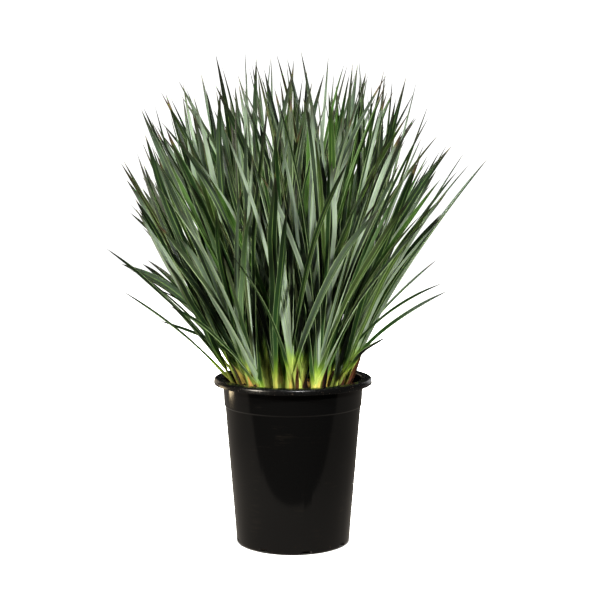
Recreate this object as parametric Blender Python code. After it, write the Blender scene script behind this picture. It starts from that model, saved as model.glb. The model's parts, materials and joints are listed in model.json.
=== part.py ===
"""A potted flax lily: a dense clump of strap-leaved fans in potting mix, in a plastic nursery pot.

Metres, +Z up. The origin is the middle of the pot's base, on the surface that the pot stands on.
The pot is turned from one profile. The leaves grow by one rule from a seeded draw: each fan has a
flattened foot of sheaths that stands in its own hole in the mix, and its leaves leave that foot by
turns on either edge. A leaf that would touch another is drawn again until it grows clear.
"""

import math
import random

import bmesh
import bpy
from mathutils import Matrix, Vector
from mathutils.bvhtree import BVHTree

# Pot
POT_HEIGHT = 0.211
RIM_RADIUS = 0.1005
LIP_HEIGHT = 0.0075
LIP_ROUND = 0.0024
NECK_TOP_RADIUS = 0.0892
NECK_FOOT_RADIUS = 0.0876
LEDGE_HEIGHT = 0.1765
LEDGE_STEP = 0.0013
BODY_TOP_RADIUS = 0.0863
BASE_RADIUS = 0.0722
CORNER_ROUND = 0.004
WALL = 0.0018
FLOOR = 0.0022
POT_SIDES = 40

# Drainage slots through the lower corner of the pot
SLOTS = 8
SLOT_WIDTH = 0.013
SLOT_HEIGHT = 0.0055
SLOT_SPRING = 0.0025
SLOT_INNER_RADIUS = 0.060
SLOT_TURN = math.radians(14)

# Potting mix
MIX_GAP = 0.0003
MIX_EDGE_HEIGHT = 0.195
MIX_MOUND = 0.004

# Fans
SEED = 5
FANS = 47
LEAVES = 7
STAND_RADIUS = 0.075
STAND_JITTER = 0.002
STAND_PULL = 0.15
GOLDEN_ANGLE = math.pi * (3 - math.sqrt(5))
EDGE_LEAN = math.radians(22)
SIDE_LEAN = math.radians(5)
LEAN_SPREAD = math.radians(2.5)
HEADING_SPREAD = math.radians(10)
FOOT_DEPTH = 0.012
FOOT_HEIGHT = 0.066
FOOT_HALF_WIDTH = 0.0066
FOOT_HALF_THICK = 0.0028
FOOT_TAPER = 0.62
HOLE_GAP = 0.00035
HOLE_TOP = 0.012

# Leaves, whose tips lie near a dome over the middle of the mix
CROWN_REACH = 0.428
SHOULDER_DROP = 0.180
SHOULDER_LEAN = math.radians(62)
SHOULDER_POWER = 2.1
REACH_SHARES = (0.76, 1.03, 1.0)
LOWEST_ROOT = 0.004
HIGHEST_ROOT = 0.058
SPLAY_OLDEST = math.radians(22)
SPLAY_YOUNGEST = math.radians(5)
SPLAY_SHARES = (0.7, 1.25)
STRAY_SPREAD = math.radians(4.5)
ROOT_OFFSET = 0.3
START_SHARE = 0.45
DROOP = 0.10
TWIST_SPREAD = math.radians(40)
HALF_WIDTHS = (0.0037, 0.0054)
ROOT_SHARE = 0.3
WIDE_FROM = 0.3
WIDE_TO = 0.66
TIP_POWER = 1.5
BLADE_STATIONS = (0.0, 0.24, 0.54, 0.81)
FREE_FROM = 0.2
KEEL_SHARE = 0.22
KEEL_LEAST = 0.0006
ELBOW_ROOM = 0.0005
TRIES = 120
WANDER_MORE = 2.0
SKYLINE_DEPTH = 0.040
NAMED_TIPS_A_FAN = 2
FANS_TO_ASK = 5
RISE_SHARES = (0.4, 1.2)
ELBOW_SHARES = (0.42, 0.52)

# Leaf tips that give the clump its outline from the front: across and up, from left to right
SKYLINE_TIPS = (
    (-0.213, 0.485),
    (-0.194, 0.510),
    (-0.183, 0.540),
    (-0.137, 0.581),
    (-0.118, 0.596),
    (-0.092, 0.611),
    (-0.059, 0.623),
    (0.000, 0.614),
    (0.052, 0.598),
    (0.093, 0.592),
    (0.118, 0.604),
    (0.148, 0.577),
    (0.170, 0.555),
    (0.193, 0.505),
    (0.219, 0.497),
    (0.248, 0.488),
    (0.186, 0.417),
)

# Tips of the low leaves that stray out of the clump, on every side
STRAY_TIPS = (
    (0.188, 0.045, 0.358),
    (0.184, -0.045, 0.334),
    (0.199, 0.015, 0.319),
    (0.112, -0.085, 0.272),
    (-0.232, -0.020, 0.376),
    (-0.229, 0.045, 0.361),
    (-0.206, -0.065, 0.326),
    (-0.177, 0.030, 0.321),
    (-0.165, -0.040, 0.287),
    (-0.150, -0.060, 0.312),
    (-0.178, 0.015, 0.345),
    (-0.206, 0.010, 0.420),
    (-0.110, 0.200, 0.370),
    (0.040, 0.225, 0.345),
    (0.120, 0.190, 0.420),
)

# Dry sheaths
DRY_SHEATHS = 7
DRY_HEIGHTS = (0.050, 0.098)
DRY_STANDS = (0.053, 0.074)
DRY_LEANS = (math.radians(12), math.radians(32))
DRY_DEPTH = 0.006
DRY_SECTIONS = ((0.0030, 0.0007), (0.0030, 0.0007), (0.0026, 0.0005), (0.0008, 0.0004))
DRY_ROOM = 0.0012

LEAF_GREEN = (0.110, 0.175, 0.105, 1.0)
STRAW_BROWN = (0.300, 0.170, 0.070, 1.0)
BARK_BROWN = (0.040, 0.022, 0.012, 1.0)
PLASTIC_BLACK = (0.012, 0.011, 0.011, 1.0)

UP = Vector((0.0, 0.0, 1.0))


def clear_scene():
    for obj in list(bpy.data.objects):
        bpy.data.objects.remove(obj, do_unlink=True)


def material(name, colour, roughness):
    made = bpy.data.materials.new(name)
    made.use_nodes = True
    shader = made.node_tree.nodes["Principled BSDF"]
    shader.inputs["Base Color"].default_value = colour
    shader.inputs["Roughness"].default_value = roughness
    shader.inputs["Metallic"].default_value = 0.0
    return made


def add_object(name, mesh, finish=None):
    made = bpy.data.objects.new(name, mesh)
    bpy.context.scene.collection.objects.link(made)
    if finish:
        mesh.materials.append(finish)
    return made


def object_from(name, points, faces, finish=None):
    mesh = bpy.data.meshes.new(name)
    mesh.from_pydata(points, [], faces)
    mesh.update()
    return add_object(name, mesh, finish)


def turned(name, profile, finish):
    """A closed solid of revolution from a profile of (radius, height) that starts and ends on the axis."""
    bm = bmesh.new()
    points = [bm.verts.new((radius, 0.0, height)) for radius, height in profile]
    for here, there in zip(points, points[1:]):
        bm.edges.new((here, there))
    bmesh.ops.spin(
        bm,
        geom=bm.verts[:] + bm.edges[:],
        cent=(0, 0, 0),
        axis=(0, 0, 1),
        angle=2 * math.pi,
        steps=POT_SIDES,
        use_merge=True,
    )
    bmesh.ops.remove_doubles(bm, verts=bm.verts, dist=1e-6)
    bmesh.ops.recalc_face_normals(bm, faces=bm.faces)
    mesh = bpy.data.meshes.new(name)
    bm.to_mesh(mesh)
    bm.free()
    mesh.shade_smooth()
    return add_object(name, mesh, finish)


def apply_boolean(target, tools, operation, solver="EXACT"):
    """Joins or cuts a list of objects with the target in one step, and removes them."""
    group = bpy.data.collections.new(f"{target.name}_tools")
    bpy.context.scene.collection.children.link(group)
    for tool in tools:
        bpy.context.scene.collection.objects.unlink(tool)
        group.objects.link(tool)
    step = target.modifiers.new(operation.title(), "BOOLEAN")
    step.operation = operation
    step.operand_type = "COLLECTION"
    step.collection = group
    step.solver = solver
    bpy.context.view_layer.update()
    graph = bpy.context.evaluated_depsgraph_get()
    before = target.data
    target.data = bpy.data.meshes.new_from_object(target.evaluated_get(graph))
    target.modifiers.clear()
    target.data.name = target.name
    bpy.data.meshes.remove(before)
    for tool in tools:
        bpy.data.meshes.remove(tool.data)
    bpy.data.collections.remove(group)


def tree_of(target):
    """A search tree of an object's surface."""
    return BVHTree.FromObject(target, bpy.context.evaluated_depsgraph_get())


def body_radius(height):
    """The pot's outer radius below the ledge."""
    share = (height - CORNER_ROUND) / (LEDGE_HEIGHT - CORNER_ROUND)
    return BASE_RADIUS + share * (BODY_TOP_RADIUS - BASE_RADIUS)


def neck_radius(height):
    """The pot's outer radius between the ledge and the lip."""
    share = (height - LEDGE_HEIGHT) / (POT_HEIGHT - LIP_ROUND - LEDGE_HEIGHT)
    return NECK_FOOT_RADIUS + share * (NECK_TOP_RADIUS - NECK_FOOT_RADIUS)


def outside_profile():
    """From the middle of the base, up the body, over the ledge and round under the turned-down lip."""
    corner = [
        (
            BASE_RADIUS - CORNER_ROUND * (1 - math.sin(turn)),
            CORNER_ROUND * (1 - math.cos(turn)),
        )
        for turn in (0.0, math.pi / 4, math.pi / 2)
    ]
    lip_inside = RIM_RADIUS - WALL
    return [
        (0.0, 0.0),
        *corner,
        (BODY_TOP_RADIUS, LEDGE_HEIGHT - LEDGE_STEP),
        (NECK_FOOT_RADIUS, LEDGE_HEIGHT),
        (NECK_TOP_RADIUS, POT_HEIGHT - LIP_ROUND),
        (lip_inside, POT_HEIGHT - LIP_ROUND),
        (lip_inside, POT_HEIGHT - LIP_HEIGHT),
        (RIM_RADIUS, POT_HEIGHT - LIP_HEIGHT),
        (RIM_RADIUS, POT_HEIGHT - LIP_ROUND),
        (RIM_RADIUS - LIP_ROUND, POT_HEIGHT),
        (NECK_TOP_RADIUS - WALL + LIP_ROUND / 2, POT_HEIGHT),
    ]


def inside_profile(top, gap=0.0):
    """From a height on the neck down the wall to the middle of the floor, drawn in by a gap."""
    return [
        (neck_radius(top) - WALL - gap, top),
        (NECK_FOOT_RADIUS - WALL - gap, LEDGE_HEIGHT),
        (BODY_TOP_RADIUS - WALL - gap, LEDGE_HEIGHT - 2 * LEDGE_STEP),
        (body_radius(CORNER_ROUND + WALL) - WALL - gap, CORNER_ROUND + WALL),
        (BASE_RADIUS - CORNER_ROUND - gap, FLOOR + gap),
        (0.0, FLOOR + gap),
    ]


def slot_cutter(index):
    """A short round-topped block across the pot's lower corner."""
    half = SLOT_WIDTH / 2
    round_top = [
        (half * math.cos(turn), SLOT_SPRING + (SLOT_HEIGHT - SLOT_SPRING) * math.sin(turn))
        for turn in (0.0, math.pi / 3, 2 * math.pi / 3, math.pi)
    ]
    outline = [(-half, -SLOT_SPRING), (half, -SLOT_SPRING)] + round_top
    count = len(outline)
    points = [(across, -SLOT_INNER_RADIUS, up) for across, up in outline]
    points += [(across, -RIM_RADIUS, up) for across, up in outline]
    faces = [list(range(count))[::-1], list(range(count, 2 * count))]
    for a in range(count):
        b = (a + 1) % count
        faces.append([a + count, a, b, b + count])
    cutter = object_from(f"slot_{index}", points, faces)
    turn = SLOT_TURN + index * 2 * math.pi / SLOTS
    cutter.data.transform(Matrix.Rotation(turn, 4, "Z"))
    return cutter


def build_pot():
    profile = outside_profile() + inside_profile(POT_HEIGHT - LIP_ROUND)
    pot = turned("pot", profile, material("pot_plastic", PLASTIC_BLACK, 0.28))
    apply_boolean(pot, [slot_cutter(index) for index in range(SLOTS)], "DIFFERENCE")
    pot.data.set_sharp_from_angle(angle=math.radians(20))
    return pot


def mix_height(x, y):
    """The surface of the mix, which is a little higher in the middle."""
    share = min(1.0, math.hypot(x, y) / NECK_FOOT_RADIUS)
    return MIX_EDGE_HEIGHT + MIX_MOUND * (1 - share**2)


def build_mix():
    half_way = NECK_FOOT_RADIUS / 2
    surface = [(0.0, mix_height(0.0, 0.0)), (half_way, mix_height(half_way, 0.0))]
    profile = surface + inside_profile(MIX_EDGE_HEIGHT, MIX_GAP)
    return turned("potting_mix", profile, material("bark_mix", BARK_BROWN, 0.95))


def direction(lean, heading):
    """A unit vector that leans from upright towards a heading."""
    level = Vector((math.cos(heading), math.sin(heading), 0.0))
    return UP * math.cos(lean) + level * math.sin(lean)


def lens_skin(stem, heights, sizes):
    """Points and faces of a four-sided lens section carried up a stem, with flat ends."""
    corners = ((1, 0), (0, 1), (-1, 0), (0, -1))
    count = len(corners)
    points = [
        stem.foot + stem.axis * height + stem.across * (width * u) + stem.normal * (thick * v)
        for height, (width, thick) in zip(heights, sizes)
        for u, v in corners
    ]
    top = len(points) - count
    faces = [list(range(count))[::-1], list(range(top, top + count))]
    for low in range(0, top, count):
        for a in range(count):
            b = (a + 1) % count
            faces.append([low + a, low + b, low + count + b, low + count + a])
    return points, faces


class Stem:
    """What stands in the mix: its foot, its axis, and the flat way across it."""

    def __init__(self, x, y, axis, plane):
        flat = Vector((math.cos(plane), math.sin(plane), 0.0))
        self.foot = Vector((x, y, mix_height(x, y)))
        self.axis = axis
        self.across = (flat - axis * flat.dot(axis)).normalized()
        self.normal = axis.cross(self.across)


class Fan(Stem):
    """One leafy shoot: a flattened foot of folded sheaths, with leaves on its two edges."""

    def __init__(self, index, draw, pull):
        out = math.sqrt((index + 0.5) / FANS)
        bearing = index * GOLDEN_ANGLE
        stand = STAND_RADIUS * out * (1 - pull)
        x = stand * math.cos(bearing) + draw.uniform(-STAND_JITTER, STAND_JITTER)
        y = stand * math.sin(bearing) + draw.uniform(-STAND_JITTER, STAND_JITTER)
        lean = (EDGE_LEAN - SIDE_LEAN * math.cos(bearing)) * out + draw.gauss(0.0, LEAN_SPREAD)
        heading = bearing + draw.gauss(0.0, HEADING_SPREAD)
        super().__init__(x, y, direction(lean, heading), draw.uniform(0.0, math.pi))
        self.name = f"fan_{index + 1:02d}"
        self.first_side = draw.choice((-1, 1))
        self.blades = []
        self.tree = BVHTree.FromPolygons(*self.skin())

    def size(self, height):
        """Half width and half thickness of the foot at a height above the mix."""
        share = 1 - FOOT_TAPER * max(0.0, height / FOOT_HEIGHT)
        return FOOT_HALF_WIDTH * share, FOOT_HALF_THICK * share

    def skin(self, room=0.0):
        heights = (-FOOT_DEPTH, 0.0, FOOT_HEIGHT)
        sizes = [(width + room, thick + room) for width, thick in map(self.size, heights)]
        return lens_skin(self, heights, sizes)

    def hole(self):
        width, thick = self.size(0.0)
        sizes = [(width + HOLE_GAP, thick + HOLE_GAP)] * 2
        return lens_skin(self, (-FOOT_DEPTH - HOLE_GAP, HOLE_TOP), sizes)


class Blade:
    """One leaf: a midrib on a quadratic Bezier curve, a half width, and a twist from root to tip."""

    def __init__(self, root, elbow, tip, width_way, half_width, twist):
        self.root = root
        self.elbow = elbow
        self.tip = tip
        self.width_way = width_way
        self.half_width = half_width
        self.twist = twist
        self.tree = BVHTree.FromPolygons(*self.skin())

    def point(self, t):
        return self.root * (1 - t) ** 2 + self.elbow * (2 * t * (1 - t)) + self.tip * t**2

    def frame(self, t):
        """Directions across the blade and out of its upper face."""
        along = (self.elbow - self.root) * (1 - t) + (self.tip - self.elbow) * t
        along.normalize()
        across = (self.width_way - along * self.width_way.dot(along)).normalized()
        across = Matrix.Rotation(self.twist * t, 3, along) @ across
        return across, along.cross(across)

    def width_at(self, t):
        """Half width: narrow and folded at the root, even in the middle, then a long point."""
        if t < WIDE_FROM:
            return self.half_width * (ROOT_SHARE + (1 - ROOT_SHARE) * t / WIDE_FROM)
        if t < WIDE_TO:
            return self.half_width
        return self.half_width * (1 - ((t - WIDE_TO) / (1 - WIDE_TO)) ** TIP_POWER)

    def skin(self, room=0.0, start=0.0):
        """Points and triangles of the keeled blade, thicker by room all round, from start to the tip."""
        stations = [start] + [t for t in BLADE_STATIONS if t > start]
        points = []
        for t in stations:
            middle = self.point(t)
            across, upward = self.frame(t)
            half = self.width_at(t)
            keel = max(KEEL_LEAST, half * KEEL_SHARE)
            edge = upward * (keel / 2 + room)
            points.append(middle + across * (half + room) + edge)
            points.append(middle - upward * (keel + room))
            points.append(middle - across * (half + room) + edge)
        last = len(points) - 3
        points.append(self.point(1.0))
        faces = [(0, 1, 2)]
        for low in range(0, last, 3):
            for a, b in ((0, 1), (1, 2)):
                faces.append((low + a, low + b + 3, low + b))
                faces.append((low + a, low + a + 3, low + b + 3))
            faces.append((low + 2, low + 5, low))
            faces.append((low, low + 5, low + 3))
        faces += [(last + a, last + 3, last + (a + 1) % 3) for a in range(3)]
        return points, faces


def dome_reach(lean):
    """How far the leaf tips stand from the middle of the mix, by their lean from upright."""
    return CROWN_REACH - SHOULDER_DROP * (lean / SHOULDER_LEAN) ** SHOULDER_POWER


def length_to_dome(root, towards, share):
    """How long a straight line from a root is when it ends at a share of the dome's reach."""
    length = CROWN_REACH * share
    for _ in range(4):
        out = root + towards * length - UP * MIX_EDGE_HEIGHT
        length += dome_reach(out.angle(UP)) * share - out.length
    return length


def draw_blade(fan, number, draw, wander):
    """One try at a fan's leaf. Leaves are numbered from the oldest, lowest on the foot, upwards."""
    age = 1 - number / (LEAVES - 1)
    side = fan.first_side * (1 if number % 2 == 0 else -1)
    splay = SPLAY_YOUNGEST + (SPLAY_OLDEST - SPLAY_YOUNGEST) * age
    splay *= draw.uniform(*SPLAY_SHARES)
    stray = draw.gauss(0.0, STRAY_SPREAD * wander)
    height = HIGHEST_ROOT + (LOWEST_ROOT - HIGHEST_ROOT) * age
    root = fan.foot + fan.axis * height + fan.across * (side * fan.size(height)[0] * ROOT_OFFSET)

    def way(in_plane, out_of_plane):
        sideways = fan.across * (side * math.sin(in_plane)) + fan.normal * math.sin(out_of_plane)
        return (fan.axis * math.cos(in_plane) + sideways).normalized()

    towards = way(splay, stray)
    length = length_to_dome(root, towards, draw.triangular(*REACH_SHARES))
    tip = root + towards * length
    tip.z -= DROOP * length * (1 - towards.z**2)
    elbow = root + way(splay * START_SHARE, stray * START_SHARE) * (length / 2)
    twist = draw.gauss(0.0, TWIST_SPREAD)
    return Blade(root, elbow, tip, fan.normal * side, draw.uniform(*HALF_WIDTHS), twist)


def draw_reaching(fan, tip, draw):
    """One try at a leaf of a fan that ends at a given point, rising first and then bending over."""
    root = fan.foot + fan.axis * draw.uniform(LOWEST_ROOT, HIGHEST_ROOT / 2)
    straight = tip - root
    rise = (fan.axis + straight.normalized() * draw.uniform(*RISE_SHARES)).normalized()
    elbow = root + rise * (straight.length * draw.uniform(*ELBOW_SHARES))
    across = straight.cross(UP).normalized()
    twist = draw.gauss(0.0, TWIST_SPREAD / 2)
    return Blade(root, elbow, tip, across, draw.uniform(*HALF_WIDTHS), twist)


def stands_clear(blade, fan, fans, solids):
    """Whether a blade touches no solid and no other fan, nor a leaf of its own fan past the foot."""
    whole = BVHTree.FromPolygons(*blade.skin(ELBOW_ROOM))
    free = BVHTree.FromPolygons(*blade.skin(ELBOW_ROOM, FREE_FROM))
    if any(whole.overlap(solid) for solid in solids):
        return False
    for other in fans:
        if other is fan:
            if any(free.overlap(leaf.tree) for leaf in fan.blades):
                return False
        elif whole.overlap(other.tree) or any(whole.overlap(leaf.tree) for leaf in other.blades):
            return False
    return True


def stand_fans(draw, pot_tree):
    """Draws each fan's foot, pulled in more with each try, until it stands clear of the rest."""
    fans = []
    for index in range(FANS):
        for attempt in range(TRIES):
            fan = Fan(index, draw, STAND_PULL * attempt / TRIES)
            room = BVHTree.FromPolygons(*fan.skin(ELBOW_ROOM))
            if not any(room.overlap(tree) for tree in [pot_tree] + [one.tree for one in fans]):
                break
        fans.append(fan)
    return fans


def grow_named_tips(fans, draw, solids):
    """Gives each leaf with a known tip to a fan that points its way and can carry it clear."""
    tips = [Vector((x, draw.gauss(0.0, SKYLINE_DEPTH), z)) for x, z in SKYLINE_TIPS]
    tips += [Vector(tip) for tip in STRAY_TIPS]
    for tip in tips:
        facing = sorted(fans, key=lambda fan: (tip - fan.foot).angle(fan.axis))
        facing = [fan for fan in facing if len(fan.blades) < NAMED_TIPS_A_FAN]
        for attempt in range(TRIES):
            fan = facing[attempt % FANS_TO_ASK]
            blade = draw_reaching(fan, tip, draw)
            if stands_clear(blade, fan, fans, solids):
                fan.blades.append(blade)
                break


def grow_leaves(fans, draw, solids):
    """Draws every other leaf in turn, oldest first, until each stands clear of the rest."""
    given = [len(fan.blades) for fan in fans]
    for number in range(LEAVES):
        for fan, already in zip(fans, given):
            if number < already:
                continue
            for attempt in range(TRIES):
                blade = draw_blade(fan, number, draw, 1 + WANDER_MORE * attempt / TRIES)
                if stands_clear(blade, fan, fans, solids):
                    fan.blades.append(blade)
                    break


class Sheath(Stem):
    """A dry leaf base, a narrow papery strip that stands by itself in the mix between the fans."""

    def __init__(self, draw):
        bearing = draw.uniform(0.0, 2 * math.pi)
        out = draw.uniform(*DRY_STANDS)
        axis = direction(draw.uniform(*DRY_LEANS), bearing)
        plane = draw.uniform(0.0, math.pi)
        super().__init__(out * math.cos(bearing), out * math.sin(bearing), axis, plane)
        self.height = draw.uniform(*DRY_HEIGHTS)

    def skin(self, room=0.0):
        heights = (-DRY_DEPTH, 0.0, self.height / 2, self.height)
        sizes = [(width + room, thick + room) for width, thick in DRY_SECTIONS]
        return lens_skin(self, heights, sizes)

    def hole(self):
        width, thick = DRY_SECTIONS[0]
        sizes = [(width + HOLE_GAP, thick + HOLE_GAP)] * 2
        return lens_skin(self, (-DRY_DEPTH - HOLE_GAP, HOLE_TOP), sizes)


def stand_sheaths(draw, fans, pot_tree):
    """Dry sheaths stand near the edge of the clump, wherever the draw finds them room."""
    taken = [pot_tree] + [fan.tree for fan in fans]
    taken += [blade.tree for fan in fans for blade in fan.blades]
    sheaths = []
    while len(sheaths) < DRY_SHEATHS:
        sheath = Sheath(draw)
        room = BVHTree.FromPolygons(*sheath.skin(DRY_ROOM))
        if not any(room.overlap(tree) for tree in taken):
            taken.append(room)
            sheaths.append(sheath)
    return sheaths


def build_fan(fan, finish):
    """Joins a fan's leaves to its foot with one Boolean union."""
    node = object_from(fan.name, *fan.skin(), finish)
    leaves = [object_from(f"{fan.name}_leaf", *blade.skin()) for blade in fan.blades]
    apply_boolean(node, leaves, "UNION", "MANIFOLD")


def build():
    clear_scene()
    pot = build_pot()
    mix = build_mix()
    pot_tree = tree_of(pot)
    solids = [pot_tree, tree_of(mix)]
    draw = random.Random(SEED)
    fans = stand_fans(draw, pot_tree)
    grow_named_tips(fans, draw, solids)
    grow_leaves(fans, draw, solids)
    sheaths = stand_sheaths(draw, fans, pot_tree)
    holes = [object_from("hole", *stem.hole()) for stem in fans + sheaths]
    apply_boolean(mix, holes, "DIFFERENCE")
    green = material("leaf_green", LEAF_GREEN, 0.45)
    for fan in fans:
        build_fan(fan, green)
    straw = material("dry_sheath", STRAW_BROWN, 0.8)
    for number, sheath in enumerate(sheaths, start=1):
        object_from(f"dry_sheath_{number}", *sheath.skin(), straw)


build()
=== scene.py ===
"""A potted flax lily: folded strap leaves in fans, dry sheaths, bark mix and a black nursery pot.

The leaves grow here by the same rule and the same seeded draw as the solids, so each fine leaf
lies along the midrib of the solid leaf that it stands for. Metres, in the frame of the model.
"""

import json
import math
import random

import bmesh
import bpy
from bpy.props import FloatProperty, FloatVectorProperty, IntProperty, PointerProperty
from mathutils import Matrix, Vector
from mathutils.bvhtree import BVHTree

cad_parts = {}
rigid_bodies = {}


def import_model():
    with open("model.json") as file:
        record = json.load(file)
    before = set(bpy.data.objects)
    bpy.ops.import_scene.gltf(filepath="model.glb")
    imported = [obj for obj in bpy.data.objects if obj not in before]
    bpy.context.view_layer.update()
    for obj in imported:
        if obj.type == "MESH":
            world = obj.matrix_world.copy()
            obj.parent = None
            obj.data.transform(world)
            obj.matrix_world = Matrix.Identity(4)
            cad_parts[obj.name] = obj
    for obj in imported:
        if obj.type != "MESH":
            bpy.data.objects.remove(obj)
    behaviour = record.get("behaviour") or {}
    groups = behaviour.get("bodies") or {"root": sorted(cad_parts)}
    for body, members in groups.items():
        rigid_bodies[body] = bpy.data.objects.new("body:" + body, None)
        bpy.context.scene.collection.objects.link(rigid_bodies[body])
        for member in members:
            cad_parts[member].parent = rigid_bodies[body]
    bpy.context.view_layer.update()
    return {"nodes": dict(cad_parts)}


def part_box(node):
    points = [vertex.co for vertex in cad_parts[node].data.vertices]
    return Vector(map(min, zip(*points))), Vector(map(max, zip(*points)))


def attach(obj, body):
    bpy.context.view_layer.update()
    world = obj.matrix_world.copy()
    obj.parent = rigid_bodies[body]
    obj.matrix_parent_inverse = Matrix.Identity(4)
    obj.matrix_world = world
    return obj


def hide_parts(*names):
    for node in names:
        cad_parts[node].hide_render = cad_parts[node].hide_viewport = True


bl_info = {
    "name": "Potted flax lily",
    "version": (1, 0, 0),
    "blender": (4, 5, 0),
    "location": "3D View > Sidebar > Flax lily",
    "description": "Leaves, sheaths, bark mix, pot and studio of a potted flax lily",
    "category": "Object",
}

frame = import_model()

# Pot
POT_HEIGHT = 0.211
RIM_RADIUS = 0.1005
LIP_HEIGHT = 0.0075
LIP_ROUND = 0.0024
NECK_TOP_RADIUS = 0.0892
NECK_FOOT_RADIUS = 0.0876
LEDGE_HEIGHT = 0.1765
LEDGE_STEP = 0.0013
BODY_TOP_RADIUS = 0.0863
BASE_RADIUS = 0.0722
CORNER_ROUND = 0.004
WALL = 0.0018
FLOOR = 0.0022
SOLID_SIDES = 40
EASE_STEPS = 6
SLOT_HEIGHT = 0.0055
SLOT_SPRING = 0.0025
SLOT_INNER_RADIUS = 0.060
SLOT_ARC_STEPS = 16

# Mix
MIX_GAP = 0.0003
MIX_EDGE_HEIGHT = 0.195
MIX_MOUND = 0.004

# Fans
SEED = 5
FANS = 47
LEAVES = 7
STAND_RADIUS = 0.075
STAND_JITTER = 0.002
STAND_PULL = 0.15
GOLDEN_ANGLE = math.pi * (3 - math.sqrt(5))
EDGE_LEAN = math.radians(22)
SIDE_LEAN = math.radians(5)
LEAN_SPREAD = math.radians(2.5)
HEADING_SPREAD = math.radians(10)
FOOT_DEPTH = 0.012
FOOT_HEIGHT = 0.066
FOOT_HALF_WIDTH = 0.0066
FOOT_HALF_THICK = 0.0028
FOOT_TAPER = 0.62

# Leaves, whose tips lie near a dome over the middle of the mix
CROWN_REACH = 0.428
SHOULDER_DROP = 0.180
SHOULDER_LEAN = math.radians(62)
SHOULDER_POWER = 2.1
REACH_SHARES = (0.76, 1.03, 1.0)
LOWEST_ROOT = 0.004
HIGHEST_ROOT = 0.058
SPLAY_OLDEST = math.radians(22)
SPLAY_YOUNGEST = math.radians(5)
SPLAY_SHARES = (0.7, 1.25)
STRAY_SPREAD = math.radians(4.5)
ROOT_OFFSET = 0.3
START_SHARE = 0.45
DROOP = 0.10
TWIST_SPREAD = math.radians(40)
HALF_WIDTHS = (0.0037, 0.0054)
ROOT_SHARE = 0.3
WIDE_FROM = 0.3
WIDE_TO = 0.66
TIP_POWER = 1.5
BLADE_STATIONS = (0.0, 0.24, 0.54, 0.81)
FREE_FROM = 0.2
KEEL_SHARE = 0.22
KEEL_LEAST = 0.0006
ELBOW_ROOM = 0.0005
TRIES = 120
WANDER_MORE = 2.0
SKYLINE_DEPTH = 0.040
NAMED_TIPS_A_FAN = 2
FANS_TO_ASK = 5
RISE_SHARES = (0.4, 1.2)
ELBOW_SHARES = (0.42, 0.52)

# Leaf tips that give the clump its outline from the front: across and up, from left to right
SKYLINE_TIPS = (
    (-0.213, 0.485),
    (-0.194, 0.510),
    (-0.183, 0.540),
    (-0.137, 0.581),
    (-0.118, 0.596),
    (-0.092, 0.611),
    (-0.059, 0.623),
    (0.000, 0.614),
    (0.052, 0.598),
    (0.093, 0.592),
    (0.118, 0.604),
    (0.148, 0.577),
    (0.170, 0.555),
    (0.193, 0.505),
    (0.219, 0.497),
    (0.248, 0.488),
    (0.186, 0.417),
)

# Tips of the low leaves that stray out of the clump, on every side
STRAY_TIPS = (
    (0.188, 0.045, 0.358),
    (0.184, -0.045, 0.334),
    (0.199, 0.015, 0.319),
    (0.112, -0.085, 0.272),
    (-0.232, -0.020, 0.376),
    (-0.229, 0.045, 0.361),
    (-0.206, -0.065, 0.326),
    (-0.177, 0.030, 0.321),
    (-0.165, -0.040, 0.287),
    (-0.150, -0.060, 0.312),
    (-0.178, 0.015, 0.345),
    (-0.206, 0.010, 0.420),
    (-0.110, 0.200, 0.370),
    (0.040, 0.225, 0.345),
    (0.120, 0.190, 0.420),
)

# Dry sheaths
DRY_SHEATHS = 7
DRY_HEIGHTS = (0.050, 0.098)
DRY_STANDS = (0.053, 0.074)
DRY_LEANS = (math.radians(12), math.radians(32))
DRY_DEPTH = 0.006
DRY_SECTIONS = ((0.0030, 0.0007), (0.0030, 0.0007), (0.0026, 0.0005), (0.0008, 0.0004))
DRY_ROOM = 0.0012

# How the fine leaves differ from the solid ones
LOOKS_SEED = 11
BURIED = 0.006
BURIED_STEP = 0.008
HUG_LENGTH = 0.034
NEST_OUTER = 1.0
NEST_STEP = 0.05
WRAP = 1.7
FOLD_RANGE = (math.radians(17), math.radians(36))
MIDRIB_SHARE = 0.55
ROOT_FLAT = 0.86
STATION_POWER = 1.35
TIP_THIN = 0.06
SWAY = 0.0012
SWAY_TURNS = (1.2, 2.4)
SLIM_HALF_WIDTHS = (0.0026, 0.0040)
SLIM_TRIES = 24
FULL_TIP_POWER = 2.2
TIP_HALF_WIDTH = 0.0008
TIP_POINT = 0.97
LEAF_TREE = "Folded leaves"
LEAF_CREASE = math.radians(48)
BOX_MATCH = 0.0002

# Where the colours of a leaf change. Pairs are a start and what is added to it, or a range.
LOW_TIP = 0.40
WORN_TINTS = (0.436, 0.018)
LIME_TOPS = (0.0, 0.050)
LIME_SHIFT = 0.006
LIME_FADES = (0.024, 0.056)
DEAD_TIP_START = 1.02
DEAD_TIP_FADE = (0.03, 0.01)
DEAD_TIPS = (0.0, 0.0, 0.0, 0.01, 0.01, 0.01, 0.02, 0.02, 0.03, 0.07)
VEIN_SPACING_MM = 0.9

# Dead sheaths, and the spent wraps round the feet. Folds are in degrees.
DEAD_THICKNESS = 0.0003
DEAD_TORN_FROM = 0.8
DEAD_STEPS = 18
DEAD_CURLS = (0.15, 0.35)
DEAD_BEND = 0.012
DEAD_FOLDS = (38, 25)
DEAD_STAIN = 0.02
SPENT_STEPS = 12
SPENT_HEIGHTS = (0.020, 0.056)
SPENT_LOOSENESS = (1.24, 0.10)
SPENT_REACH = 0.95
SPENT_STAIN = 0.014

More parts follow.
